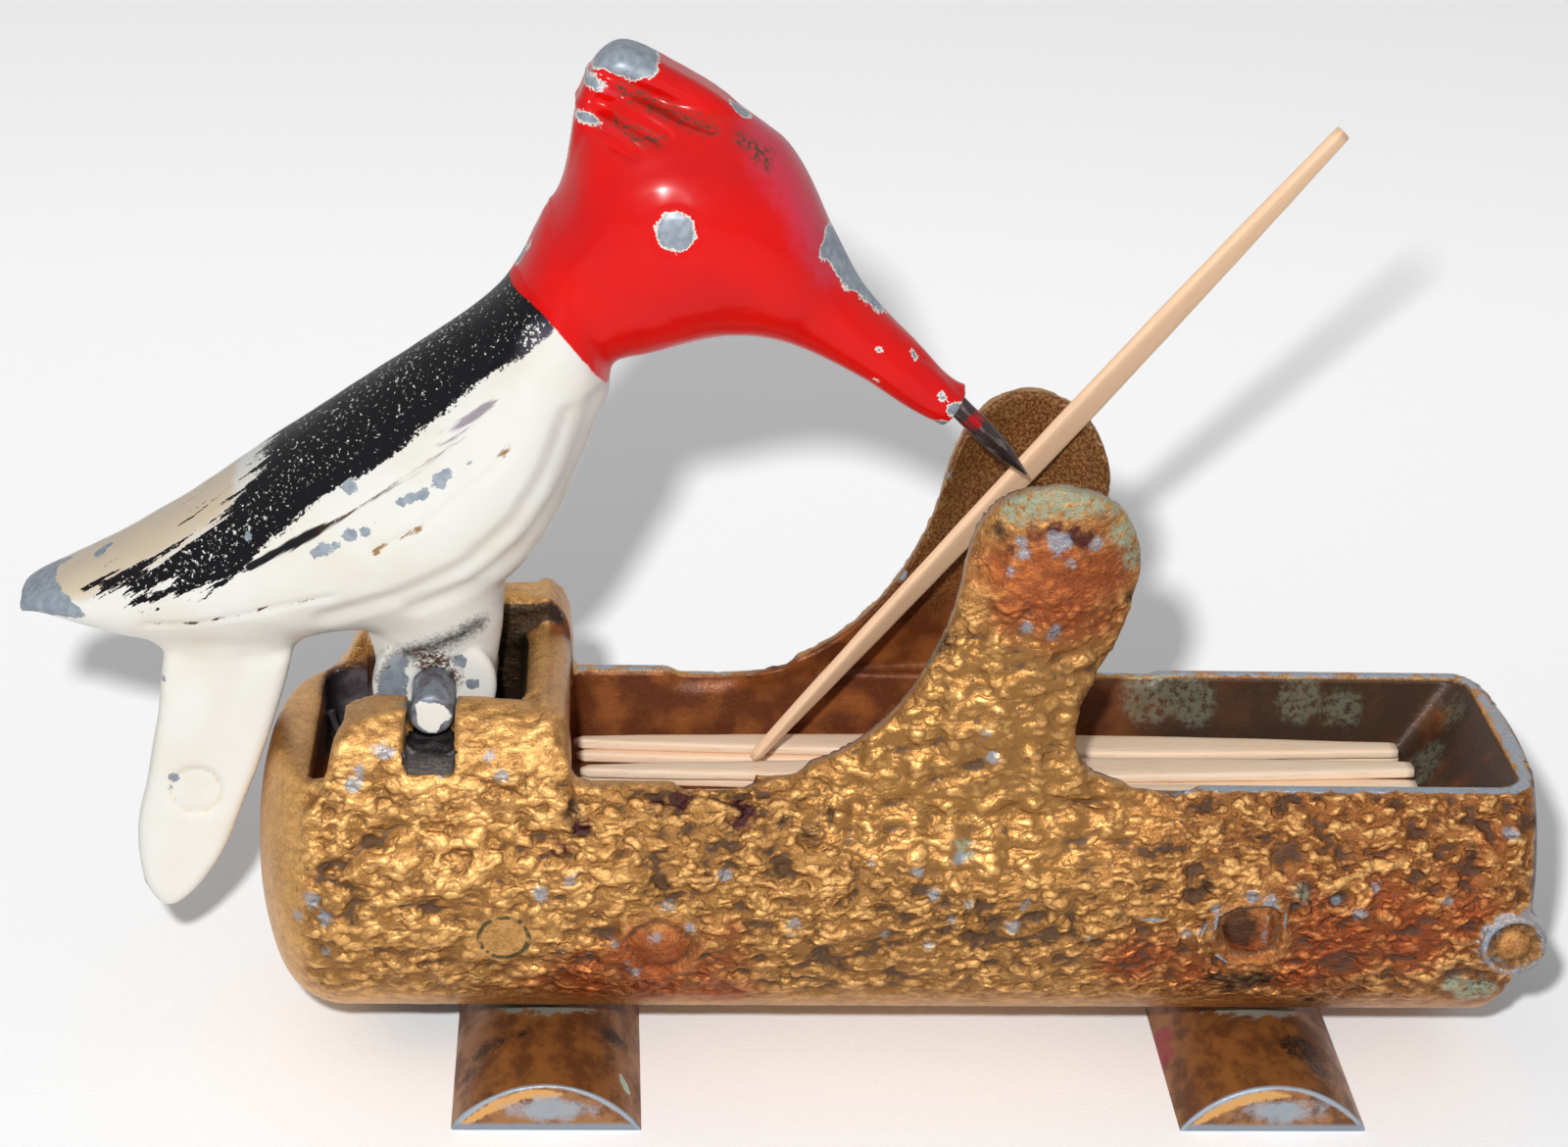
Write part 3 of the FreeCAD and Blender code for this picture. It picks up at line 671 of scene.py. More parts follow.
# %% Enamel colours
CREAM = (0.83, 0.82, 0.77, 1)
DARKER_CREAM = (0.74, 0.66, 0.48, 1)
BEIGE = (0.68, 0.52, 0.33, 1)
OCHRE = (0.36, 0.20, 0.08, 1)
BLACK = (0.005, 0.004, 0.006, 1)
FADED_BLACK = (0.10, 0.09, 0.12, 1)
MAUVE = (0.20, 0.13, 0.20, 1)
RED = (0.76, 0.003, 0.002, 1)
DEEP_RED = (0.56, 0.002, 0.006, 1)
# Pink that paints the red gloss's sheen on the head's ridges and forehead.
PAINTED_SHEEN_RED = (0.60, 0.07, 0.14, 1)
BARE_ZINC = (0.36, 0.40, 0.45, 1)
DARK_ZINC = (0.26, 0.30, 0.35, 1)
PALE_LIP = (0.80, 0.76, 0.70, 1)
DIRT = (0.10, 0.045, 0.025, 1)
WING_TURN = 35.5


# %% Cream coat
def cream_coat(tree):
    blotch = between(tree, grain(tree, 0.16, 3.0), 0.45, 0.75)
    # Darker, yellower cream in random blotches and in the hollows.
    hollow = between(tree, stored(tree, "arris"), -0.01, -0.12)
    blotch_and_hollow = most(tree, times(tree, blotch, 0.4), hollow)
    colour = mix(tree, blotch_and_hollow, CREAM, DARKER_CREAM)
    wedge = ragged(tree, stored(tree, "wedge"), 0.35, 0.5)
    colour = paint(tree, colour, wedge, 0.75, BEIGE)
    crumbs = feather_grain(tree, 1.6, WING_TURN, 3.5)
    reach = minus(tree, crumbs, times(tree, stored(tree, "ochre_line"), 0.35))
    return mix(tree, between(tree, reach, 0.49, 0.58), colour, OCHRE)


# %% Black coat
def line_mark(tree, name, half_width, streak, wander):
    inside = minus(tree, half_width, stored(tree, name))
    return between(tree, plus(tree, inside, about(tree, streak, 0.52, wander)), 0.0, 0.16)


def wing_black(tree, streak, speck, tooth):
    """Mask of the sprayed wing, whose thin edge and worn tail let specks of cream through."""
    wing, worn, fade = (stored(tree, name) for name in ("wing", "worn", "fade"))
    wander = about(tree, streak, 0.5, add_shares(tree, 0.9, (worn, 5.0)))
    black = between(tree, plus(tree, plus(tree, wing, wander), tooth), -0.02, 0.12)
    band = maths(tree, "ABSOLUTE", minus(tree, wing, 1.7))
    band = minus(tree, 1.0, times(tree, band, 0.6), clamp=True)
    ridge = stored(tree, "back_ridge")
    raised = add_shares(tree, times(tree, band, 0.085), (worn, 0.07), (fade, 0.11), (ridge, 0.12))
    shown = between(tree, plus(tree, speck, raised), 0.695, 0.735)
    dots = between(tree, grain(tree, 2.6, 1.0), 0.765, 0.785)
    return times(tree, black, minus(tree, 1.0, most(tree, shown, dots))), fade


def black_coat(tree, colour):
    """Black over the wings, with its specks, streaks and lines. Returns the colour and mask."""
    streak = feather_grain(tree, 1.5, WING_TURN, 9.0)
    speck = grain(tree, 3.4, 3.0, 0.7)
    tooth = about(tree, speck, 0.5, 1.1)
    black, fade = wing_black(tree, streak, speck, tooth)
    left = minus(tree, times(tree, own_mm(tree, "X"), -1.0), 31.5)
    thick = between(tree, left, -1.5, 1.5)
    first = line_mark(tree, "first_line", blend_numbers(tree, thick, 0.20, 0.42), streak, 0.9)
    third = line_mark(tree, "third_line", 0.10, streak, 1.7)
    fuzzy = between(tree, left, -4.5, -8.5)
    haze = minus(tree, 0.45, stored(tree, "first_line"))
    haze = plus(tree, haze, about(tree, streak, 0.5, 3.6))
    haze = times(tree, between(tree, haze, 0.0, 0.5), times(tree, fuzzy, 0.75))
    dusted = minus(tree, stored(tree, "smudge"), times(tree, tooth, -1.6))
    dusted = between(tree, dusted, -0.3, 1.1)
    faded = mix(tree, times(tree, fade, 0.6, clamp=True), BLACK, FADED_BLACK)
    colour = mix(tree, haze, colour, MAUVE)
    colour = mix(tree, third, colour, DIRT)
    brown = mix(tree, thick, DIRT, BLACK)
    colour = mix(tree, times(tree, first, minus(tree, 1.0, fuzzy)), colour, brown)
    colour = mix(tree, black, colour, faded)
    colour = paint(tree, colour, dusted, 0.92, BLACK)
    dirty = ragged(tree, stored(tree, "hub_dirt"), 0.5, 0.5)
    colour = paint(tree, colour, dirty, between(tree, speck, 0.36, 0.56), DIRT)
    return colour, most(tree, black, dusted)


# %% Red coat
def red_coat(tree, colour):
    sheen = between(tree, grain(tree, 0.2, 2.0), 0.35, 0.7)
    red = paint(tree, RED, sheen, 0.35, DEEP_RED)
    # Painted sheen: pink on the head's ridges and along the forehead, as the white cloth would show in
    # the red gloss.
    ridge = between(tree, stored(tree, "arris"), 0.03, 0.12)
    red = paint(tree, red, ridge, 0.45, PAINTED_SHEEN_RED)
    painted_forehead_sheen = ragged(tree, stored(tree, "forehead_sheen"), 0.5, 1.1)
    red = paint(tree, red, painted_forehead_sheen, 0.55, PAINTED_SHEEN_RED)
    rub = ragged(tree, stored(tree, "rub"), 0.40, 0.4)
    red = paint(tree, red, rub, between(tree, grain(tree, 3.0, 4.0, 0.7), 0.40, 0.60), DIRT)
    head = ragged(tree, stored(tree, "head"), 0.06, 0.06)
    return mix(tree, head, colour, red), head


# %% Bird enamel
def bird_enamel():
    material, tree, surface = new_material("bird_enamel")
    colour, black = black_coat(tree, cream_coat(tree))
    colour, head = red_coat(tree, colour)
    chip = most(tree, stored(tree, "chip"), worn_arris(tree, 0.20, 0.6, 0.64, 0.5, 4.0))
    lip = ragged(tree, plus(tree, chip, 0.13), 0.32, 0.03)
    bare = ragged(tree, chip, 0.28, 0.03)
    zinc = mix(tree, between(tree, grain(tree, 1.6, 4.0), 0.35, 0.65), BARE_ZINC, DARK_ZINC)
    colour = paint(tree, colour, lip, head, PALE_LIP)
    colour = mix(tree, bare, colour, zinc)
    gloss = blend_numbers(tree, black, 0.34, 0.46)
    coat = blend_numbers(tree, black, 0.36, 0.14)
    ripple = times(tree, grain(tree, 1.4, 3.0), 0.5)
    fill(tree, surface, {
        "Base Color": colour,
        "Metallic": times(tree, bare, 0.35),
        "Roughness": blend_numbers(tree, bare, gloss, 0.45),
        "Specular IOR Level": 0.06,
        "Coat Weight": times(tree, minus(tree, 1.0, bare), coat),
        "Coat Roughness": 0.2,
        "Normal": bump(tree, minus(tree, ripple, bare), 0.35, 0.05),
    })
    return material


dress(bird, bird_enamel())
place_on(bird, "bird", ["bird_casting"])

# %% [markdown]
# ## The log's knots
# The log is cast with marks of a real one: an almond knot, a square knot, rings round small
# lumps and flow lines. They are drawn on the side view and stand on both sides. Each one is a
# small rule on the distance to its outline: a raised rim, a groove inside it and a domed heart.

# %% Knots and lines, as (x, z) in mm
LOG_AXIS_Z = 15.95
LOG_RADIUS = 12.75
RIM_Z = 24.3
LOG_SEAMS = [
    ([(-36.5, 23.0), (-34.0, 24.6)], 1.8),
    ([(24.0, 24.5), (27.0, 24.0)], 1.3),
    ([(-19.6, 29.9), (-16.4, 27.6)], 1.8),
]
STUB_ROOT = [([(-6.6, 24.0), (-3.6, 24.4), (-0.6, 25.0)], 2.0)]
STUB_EDGE_SHIFTS = [
    (24.5, 0.0), (27.2, -0.65), (30.2, -1.2), (33.2, -0.85), (36.9, -0.1), (40.6, 0.4), (44.0, 0.3),
]
STUB_AXIS_LOW = (13.0, 24.3)
STUB_AXIS_HIGH = (17.6, 44.0)
CHEEK_DROP = 0.6
CHEEK_SLOPE = [(-32.2, 24.6), (-27.0, 29.9)]
CHEEK_BULGE = 1.0
CHEEK_FACE_Y = 4.8
ALMOND = [
    (-12.3, 13.7), (-11.2, 15.3), (-9.5, 16.2), (-7.6, 15.7),
    (-5.8, 13.6), (-6.8, 11.4), (-8.6, 10.3), (-10.5, 10.4), (-11.7, 12.2),
]
ALMOND_HEART = (-9.4, 13.6)
SQUARE = [
    (29.3, 16.4), (30.6, 17.4), (32.9, 17.5), (34.2, 17.0), (34.6, 15.0),
    (34.4, 12.7), (33.1, 12.1), (30.8, 12.1), (29.5, 13.2), (29.1, 15.0),
]
TWIG = (50.6, 14.1)
RINGS = [(-3.8, 22.9, 0.95), (1.1, 22.4, 1.25), (-8.2, 23.0, 0.8), (12.7, 15.3, 0.8), (12.2, 17.0, 0.7)]
FLOW_RIDGES = [
    [(19.8, 14.4), (21.7, 15.2), (24.0, 16.1), (26.7, 16.2), (29.0, 16.9), (30.5, 18.4)],
    [(20.6, 14.6), (24.1, 14.0), (26.9, 14.3), (28.8, 15.6)],
    [(33.6, 18.4), (35.4, 17.4), (36.6, 15.6), (38.6, 14.4)],
    [(-18.0, 12.6), (-15.4, 13.2), (-12.6, 12.4)],
    [(-18.4, 10.9), (-15.6, 10.9), (-13.0, 11.4)],
]
TWIG_RADIUS = 2.7
LOG_MARK = (-19.8, 14.0)
LOG_MARK_RADIUS = 1.7
BARK_CLEARINGS = [(*TWIG, 2.6), (-19.9, 14.0, 2.1)]
PIN_X = -24.9
SLOT_LEDGE_Y = -7.6
STUB_FACE_Y = 4.6
KNIT_AREA = [
    (-1.0, 22.0), (6.0, 19.5), (14.0, 18.0), (22.0, 19.5), (27.0, 23.0), (21.5, 26.0),
    (22.5, 35.0), (19.0, 37.5), (12.0, 37.5), (8.0, 32.0), (3.0, 26.6),
]

LOG_GRAIN_MM = 0.37
LOG_MELT_ROUNDS = 24
STUB_MELT_ROUNDS = 60

log = recast("log_casting", "log", LOG_GRAIN_MM)
melt(log, LOG_SEAMS, LOG_MELT_ROUNDS)
melt(log, STUB_ROOT, STUB_MELT_ROUNDS)

# %% Trim the stubs and the cheeks
def trim_log(points):
    """Narrows the stubs' necks, lowers the cheeks and rounds the front cheek's outer end."""
    x, y, z = points.T
    lean = (STUB_AXIS_HIGH[0] - STUB_AXIS_LOW[0]) / (STUB_AXIS_HIGH[1] - STUB_AXIS_LOW[1])
    stub_middle = STUB_AXIS_LOW[0] + lean * (z - STUB_AXIS_LOW[1])
    heights, shifts = zip(*STUB_EDGE_SHIFTS)
    right_side = soft_step(x - stub_middle, 0.5, 3.5) * (z > RIM_Z + 0.1) * (x < 30)
    moved_x = x + right_side * np.interp(z, heights, shifts)
    on_cheek = soft_step(-17.2 - x, 0.0, 1.0) * (x > -33)
    on_cheek *= soft_step(np.abs(y), CHEEK_FACE_Y, CHEEK_FACE_Y + 0.5)
    moved_z = z - CHEEK_DROP * on_cheek * soft_step(z, 26.4, 29.2)
    start, end = np.array(CHEEK_SLOPE)
    length = np.linalg.norm(end - start)
    run = (end - start) / length
    out = np.array((-run[1], run[0]))
    side_view = np.stack([x, z], axis=1) - start
    part = np.clip(side_view @ run / length, 0, 1)
    bulge = CHEEK_BULGE * np.sin(math.pi * part) * soft_step(side_view @ out, -3.0, -0.3)
    bulge *= y < -CHEEK_FACE_Y
    return np.stack([moved_x + bulge * out[0], y, moved_z + bulge * out[1]], axis=1)


write_points(log.data, trim_log(read_points(log.data)))
log_points = read_points(log.data)


# %% Sculpt the knots
def knot_height(distance, rim, groove, dome):
    """Height in mm over a knot, from the distance inside its outline."""
    height = rim * (1 - soft_step(np.abs(distance - 0.15), 0.0, 0.45))
    height -= groove * (1 - soft_step(np.abs(distance - 0.75), 0.0, 0.45))
    return height + dome * soft_step(distance, 0.8, 2.2)


log_side = log_points[:, [0, 2]]
x, y, z = log_points.T
from_axis = np.hypot(y, z - LOG_AXIS_Z)
outward = np.stack([0 * x, y / from_axis, (z - LOG_AXIS_Z) / from_axis], axis=1)
almond = inside_outline(log_side, ALMOND)
square = inside_outline(log_side, SQUARE)
in_knot = np.maximum(almond, square)
on_skin = (from_axis > LOG_RADIUS - 0.5) & (z < RIM_Z - 0.5)
sculpt = soft_step(in_knot, -0.9, -0.2) * (LOG_RADIUS - from_axis)
sculpt += knot_height(almond, rim=0.30, groove=0.32, dome=0.42)
sculpt += knot_height(square, rim=0.52, groove=0.60, dome=0.25)
spoke = np.arctan2(z - ALMOND_HEART[1], x - ALMOND_HEART[0])
crease = (np.abs(np.sin(2.5 * spoke + 0.7)) < 0.16) * soft_step(almond, 0.9, 1.3)
sculpt -= 0.16 * spread(log.data, crease, 2)
sculpt -= 0.25 * spread(log.data, (square > 1.3) * lump_noise(log_points / 0.7, 31), 1)
for *centre, radius in RINGS:
    sculpt -= 0.34 * circle_line(log_side, centre, radius, 0.38)
for line in FLOW_RIDGES:
    sculpt += 0.34 * trench(log_side, line, 0.55)
write_points(log.data, log_points + outward * (sculpt * on_skin)[:, None])
log_points = read_points(log.data)
log_normals = read_normals(log.data)

# %% Where the log has bark
UNDER_RIM_Z = RIM_Z - 0.15
OVER_RIM_Z = RIM_Z + 0.4
STUB_LEFT_X = -12
faces_out = log_normals[:, 1] * np.sign(y)
above = z >= UNDER_RIM_Z
outer = soft_step(from_axis, 11.7, 12.3) * ~above
raised = soft_step(faces_out, 0.05, 0.45) * above * soft_step(np.abs(y), 6.0, 7.0)
bark = np.maximum(outer, raised)
on_stub = (z > OVER_RIM_Z) & (x > STUB_LEFT_X)
stub_side = soft_step(faces_out, 0.45, 0.85) * on_stub
bark *= np.where(on_stub, np.where(y > 0, stub_side, 0.35 + 0.65 * stub_side), 1.0)
rear_outside = soft_step(np.abs(y), 7.0, 9.0) * (z > RIM_Z)
corner = outward_corners(log.data)
near_edge = spread(log.data, (corner > 0.13) * 1.0, 9)
CALMED = [
    (0.8, soft_step(-x, 32.0, 34.5)),
    (0.7, soft_step(LOG_AXIS_Z - z, 7.0, 9.5)),
    (0.75, soft_step(z, 36.5, 39.5)),
    (1.0, (y > 0) * soft_step(z, RIM_Z - 1.6, RIM_Z - 0.5) * (1 - rear_outside)),
    (0.55, soft_step(z, RIM_Z + 0.5, RIM_Z + 2.5) * (x < -15)),
    (0.9, soft_step(in_knot, -0.5, 0.1) * on_skin),
    (0.8, soft_step(near_edge, 0.04, 0.22) * (z > RIM_Z - 1.5)),
    (0.75, soft_step(LOG_AXIS_Z - z, 6.0, 9.0)),
]
for share, mask in CALMED:
    bark *= 1 - share * mask
for *centre, radius in BARK_CLEARINGS:
    bark *= soft_step(np.linalg.norm(log_side - centre, axis=1), radius - 0.4, radius + 0.5)
store(log.data, "bark", spread(log.data, bark, 2))
store(log.data, "knit", soft_step(inside_outline(log_side, KNIT_AREA), -1.2, 1.2))

# %% [markdown]
# ## Bark by rule
# Bark repeats without ever being the same: rough lumps lie along the log, broken and warped, and
# on the stub they are smooth and stacked like knitting. That is a rule, so a Geometry Nodes tree
# makes it. It moves each point along its normal, only where the stored number `bark` allows, and
# keeps the height as `relief`, so that the paint knows which points are crests or crevices.


# %% Lumps inside the tree
def domes(tree, place, size, randomness):
    """Rounded lumps with sharp crevices between them, one to each cell of the given size."""
    gap = cell_gap(tree, vectors(tree, "DIVIDE", place, size), 1.0, randomness)
    return minus(tree, 0.75, times(tree, gap, 2.4))


def kept_number(tree, name, kind="FLOAT"):
    inputs = {"Name": name}
    return node(tree, "GeometryNodeInputNamedAttribute", inputs, data_type=kind).outputs[0]


# %% Bark relief tree
def bark_relief_tree():
    tree, given = geometry_tree("bark relief", {
        "Lump size": "Vector", "Knit size": "Vector", "Start": "Vector", "Depth": "Float",
    })
    place = scaled(tree, node(tree, "GeometryNodeInputPosition").outputs[0], 1 / MM)
    place = vectors(tree, "ADD", place, given["Start"])
    slow = noise_at(tree, place, (4.0, 3.0, 3.0), 2.0, "Color")
    warped = vectors(tree, "ADD", place, scaled(tree, slow, 3.2))
    lumps = domes(tree, warped, given["Lump size"], 1.0)
    crumb_place = vectors(tree, "ADD", warped, (31.0, 7.0, 3.0))
    crumbs = domes(tree, crumb_place, (1.15, 0.8, 0.8), 1.0)
    rough = about(tree, noise_at(tree, warped, (1.5, 1.0, 1.0), 3.0), 0.5, 2.6)
    coarse = add_shares(tree, times(tree, lumps, 0.50), (crumbs, 0.40), (rough, 0.30))
    knit_place = vectors(tree, "ADD", place, slow)
    knit = domes(tree, knit_place, given["Knit size"], 0.75)
    across = node(tree, "ShaderNodeSeparateXYZ", {0: knit_place}).outputs["X"]
    column = maths(tree, "SINE", times(tree, across, 2.3))
    knit = add_shares(tree, times(tree, knit, 0.66), (rough, 0.07), (column, 0.20))
    height = blend_numbers(tree, kept_number(tree, "knit"), coarse, knit)
    swell = minus(tree, noise_at(tree, place, (6.0, 4.0, 4.0), 1.0), 0.5)
    height = minus(tree, add_shares(tree, height, (swell, 0.6)), 0.15)
    height = times(tree, height, kept_number(tree, "bark"))
    step = times(tree, times(tree, height, given["Depth"]), MM)
    offset = scaled(tree, node(tree, "GeometryNodeInputNormal").outputs[0], step)
    kept = node(
        tree, "GeometryNodeStoreNamedAttribute",
        {"Geometry": given["Geometry"], "Name": "relief", "Value": height},
        data_type="FLOAT", domain="POINT",
    ).outputs[0]
    moved = node(tree, "GeometryNodeSetPosition", {"Geometry": kept, "Offset": offset}).outputs[0]
    return end_tree(tree, moved)


# %% [markdown]
# ## Bronze paint on bark
# The log was painted with bronze powder in lacquer. On the crests it is bright gold and in the
# crevices nearly black; part of that is the paint and dirt, and part is painted highlight and
# painted shade. Some knots and the stub are tinted orange red, and blue grey zinc shows where
# hands rubbed. Inside the trough it is thin, brown and smooth, with painted shade towards its
# right end, and a few black patches are painted shadows. Each tint is a list of round spots in
# mm, stored as distances.

# %% Spots of each tint, as (x, y, z, radius) in mm
SPOTS = {
    "orange": [
        (-8.8, -12.7, 12.8, 3.4), (-13.8, -12.2, 11.9, 2.2), (-17.0, -11.0, 9.6, 1.9),
        (-12.6, -11.2, 9.4, 1.9), (-4.3, -12.1, 12.2, 1.8), (-4.4, -12.7, 14.8, 1.4),
        (32.0, -12.8, 14.2, 2.9), (36.6, -12.6, 15.8, 2.6), (35.2, -12.4, 18.2, 1.5),
        (39.6, -12.7, 14.2, 2.6), (26.0, -12.4, 12.9, 2.2), (43.6, -12.6, 16.4, 2.2),
        (46.5, -12.3, 18.8, 1.8), (48.0, -11.4, 21.5, 1.3), (46.0, -12.6, 15.0, 1.6),
        (16.7, -9.8, 40.0, 4.8), (13.4, -9.3, 40.6, 2.8), (20.2, -9.2, 40.6, 3.4),
        (19.5, -9.4, 44.0, 1.1), (-8.8, 12.7, 12.8, 3.4), (32.0, 12.8, 14.2, 2.9),
        (24.0, -12.2, 12.2, 3.0), (28.5, -12.0, 11.0, 2.6), (38.4, -12.6, 13.6, 4.0),
        (43.0, -12.6, 14.2, 3.6), (36.0, -11.8, 10.8, 3.0), (47.4, -12.2, 16.2, 2.8),
        (41.5, -12.4, 17.4, 2.4), (-6.0, -12.3, 10.8, 2.6), (-14.6, -11.6, 10.6, 2.8),
        (17.8, -9.7, 37.8, 3.4), (14.6, -9.7, 38.2, 2.8), (20.4, -9.2, 37.2, 2.2),
        (16.7, 9.8, 40.0, 3.0), (40.0, 12.5, 15.0, 3.0), (0.0, 12.6, 14.0, 2.4),
        (-13.8, -11.0, 8.8, 3.4), (-9.5, -11.0, 8.8, 3.8), (-4.8, -10.8, 8.4, 3.4),
        (-10.0, -12.4, 12.0, 4.2),
    ],
    "zinc": [
        (-27.9, -10.3, 27.3, 0.62), (-28.4, -10.3, 27.3, 0.4), (-30.0, -11.0, 25.1, 0.50),
        (-20.8, -10.5, 27.1, 0.40), (-20.1, -10.9, 25.8, 0.45), (-29.6, -10.9, 26.0, 0.40),
        (-23.0, -10.0, 28.6, 0.30), (-9.4, -13.2, 14.5, 0.45), (-9.9, -13.2, 14.7, 0.30),
        (-12.2, -12.7, 13.7, 0.34), (-7.0, -13.1, 14.9, 0.40), (-7.0, -13.1, 15.3, 0.30),
        (-10.8, -11.7, 11.0, 0.42), (-11.3, -12.4, 11.9, 0.25), (-17.4, -12.6, 17.5, 0.55),
        (-15.2, -12.5, 18.6, 0.40), (-4.8, -12.4, 18.9, 0.42), (-8.6, -12.7, 16.6, 0.40),
        (0.2, -12.7, 15.5, 0.42), (-0.2, -12.7, 14.6, 0.30), (6.4, -12.7, 14.5, 0.38),
        (9.6, -12.5, 13.6, 0.30), (11.0, -12.7, 15.7, 0.34), (15.3, -12.7, 15.2, 0.50),
        (12.1, -12.7, 17.0, 0.32), (9.7, -12.6, 17.7, 0.36), (8.4, -12.3, 19.4, 0.40),
        (11.3, -12.0, 20.2, 0.45), (5.3, -12.1, 19.9, 0.36), (16.1, -12.7, 17.0, 0.34),
        (28.8, -13.4, 15.5, 0.50), (27.4, -12.7, 14.9, 0.30), (29.3, -13.0, 16.9, 0.38),
        (31.8, -12.6, 17.8, 0.45), (33.2, -12.7, 17.5, 0.40), (33.1, -13.3, 15.6, 0.30),
        (33.1, -13.2, 14.9, 0.30), (33.1, -13.1, 14.2, 0.30), (33.1, -13.0, 13.4, 0.36),
        (39.3, -12.7, 16.4, 0.42), (39.8, -12.7, 16.3, 0.30), (45.5, -12.7, 17.5, 0.38),
        (49.9, -11.2, 22.0, 0.50), (40.5, -12.5, 18.4, 0.26), (37.8, -12.7, 17.4, 0.30),
        (16.9, -9.7, 43.0, 0.80), (19.5, -9.5, 42.8, 0.50), (14.6, -9.4, 42.1, 0.46),
        (17.9, -9.7, 41.4, 0.34), (13.9, -9.4, 40.8, 0.28), (15.1, -10.0, 36.8, 0.42),
        (17.1, -10.0, 36.4, 0.58), (14.4, -9.3, 42.8, 0.36), (12.8, -10.4, 29.1, 0.35),
        (13.3, -10.6, 27.2, 0.40), (-26.6, -7.0, 28.6, 0.8), (-23.2, -7.0, 28.8, 0.7),
        (-32.9, -12.4, 16.8, 0.55), (-32.1, -12.6, 15.4, 0.50), (-33.8, -11.9, 15.3, 0.35),
        (-32.1, -12.1, 12.4, 0.40),
    ],
    "green": [
        (49.0, -10.6, 9.0, 1.6), (47.6, -10.9, 9.4, 1.1), (14.0, -9.0, 45.2, 1.2),
        (15.6, -9.2, 45.9, 1.5), (17.6, -9.4, 46.3, 1.5), (19.8, -8.7, 46.0, 1.3),
        (21.6, -8.5, 43.4, 1.2), (22.2, -8.2, 41.6, 0.9), (11.7, -11.7, 20.8, 0.7),
        (35.2, -12.3, 17.9, 0.7), (45.0, -1.0, 19.2, 2.4), (46.2, 3.6, 20.6, 2.4),
        (49.0, 6.0, 23.5, 1.6), (27.5, 8.2, 22.6, 2.0), (30.6, 8.2, 22.4, 1.8),
        (38.8, 8.2, 22.6, 1.7), (42.0, 8.2, 22.0, 1.4),
    ],
    "purple": [
        (15.3, -9.5, 43.5, 0.55), (16.6, -9.7, 44.0, 0.60), (17.9, -9.7, 43.5, 0.60),
        (18.7, -9.6, 43.2, 0.70), (13.8, -9.2, 42.2, 0.40), (-3.8, -10.7, 22.9, 1.2),
        (-7.6, -10.2, 23.6, 0.8), (-9.3, -10.5, 23.3, 0.7), (-14.6, -11.2, 22.0, 0.7),
        (-17.0, -11.6, 18.4, 0.6), (-16.0, -12.0, 20.6, 0.6), (-5.8, -12.4, 18.7, 0.5),
    ],
    "dark": [
        (9.9, -8.8, 35.5, 0.50), (9.4, -8.5, 34.6, 0.55), (8.9, -8.1, 33.6, 0.40),
        # The four spots at z 9 to 11 under the square knot are its painted shadow.
        (30.4, -11.6, 10.7, 1.05), (31.8, -11.4, 10.3, 1.10), (33.2, -11.4, 10.3, 1.05),
        (31.2, -10.8, 9.2, 0.60), (37.6, -9.5, 7.5, 0.50), (31.2, -13.0, 15.2, 1.35),
        (30.6, -13.0, 15.9, 0.6), (41.2, -12.7, 14.5, 0.32), (34.8, -12.7, 17.1, 0.42),
        (37.9, -12.6, 17.8, 0.36), (22.6, -12.7, 16.2, 0.42), (19.6, -12.7, 14.9, 0.30),
        (47.1, -11.7, 20.9, 0.45), (42.4, -12.5, 13.3, 0.25), (13.0, -8.5, 43.2, 0.55),
        (-15.4, -10.4, 23.0, 0.9), (-15.3, -10.9, 21.6, 0.6), (2.5, -10.7, 22.9, 0.4),
        (1.0, -11.4, 21.7, 0.5), (-0.8, -11.0, 22.4, 0.4), (25.8, -11.2, 20.6, 0.55),
        (28.6, -12.3, 18.4, 0.5), (47.5, -2.5, 20.6, 0.9), (22.3, -8.0, 38.4, 0.5),
    ],
}

# %% Masks of the trough, the stubs and the rims
BAY = ((-29.5, -15.9), (0.0, 5.7), (0.0, 31.6))
BAY_WALL_LEFT_X = -33.4
TROUGH_LEFT_X = -33.3
STUB_ZONE_LEFT_X = -17
RIM_LEFT_X = -15.3
REAR_RIM_STRENGTH = 0.85


def inside_box(box):
    """Points between the limits of x, of the distance from the middle plane and of z."""
    within = np.ones(len(x), bool)
    for values, (low, high) in zip((x, np.abs(y), z), box):
        within &= (values >= low) & (values < high)
    return within


inside_log = from_axis < LOG_RADIUS - 0.5
behind_stub = (y > 0) * soft_step(x, -4.5, -1.5) * soft_step(-x, -23.5, -21.0)
# The bay behind the hub, painted black as the hub's shadow.
bay_shadow_zone = inside_box(BAY) & (log_normals[:, 2] < 0.6)
bay_shadow_zone &= (np.abs(y) < 5.1) | (faces_out < -0.4)
inside_bay = (np.abs(y) < 8.8) & inside_log & (faces_out < 0.35)
bay_wall = soft_step(y, 3.5, 5.5) * soft_step(-x, 27.6, 29.0) * inside_bay
bay_wall *= (x > BAY_WALL_LEFT_X) & (z < 27.2)
in_trough = soft_step(LOG_RADIUS - 0.75 - from_axis, 0.0, 0.3)
in_trough *= (z < RIM_Z - 0.05) & (x > TROUGH_LEFT_X)
stub_inside = above * (1 - soft_step(faces_out, -0.2, 0.1)) * soft_step(z, 24.6, 25.2)
stub_inside *= x > STUB_ZONE_LEFT_X
ledge = behind_stub * (np.abs(z - RIM_Z) < 1.4) * (y < 9.6) * (faces_out < 0.55)
rim_top = soft_step(log_normals[:, 2], 0.8, 0.95) * (np.abs(z - RIM_Z) < 0.5)
rim_top *= x > RIM_LEFT_X
rim_top *= np.where(y > 0, REAR_RIM_STRENGTH * (1 - behind_stub), soft_step(x, 21, 29))
on_stub_face = (np.abs(np.abs(y) - STUB_FACE_Y) < 0.35) & (z > RIM_Z + 0.6) & (x > -10)
rear_rim = on_stub_face * soft_step(-faces_out, 0.75, 0.95)

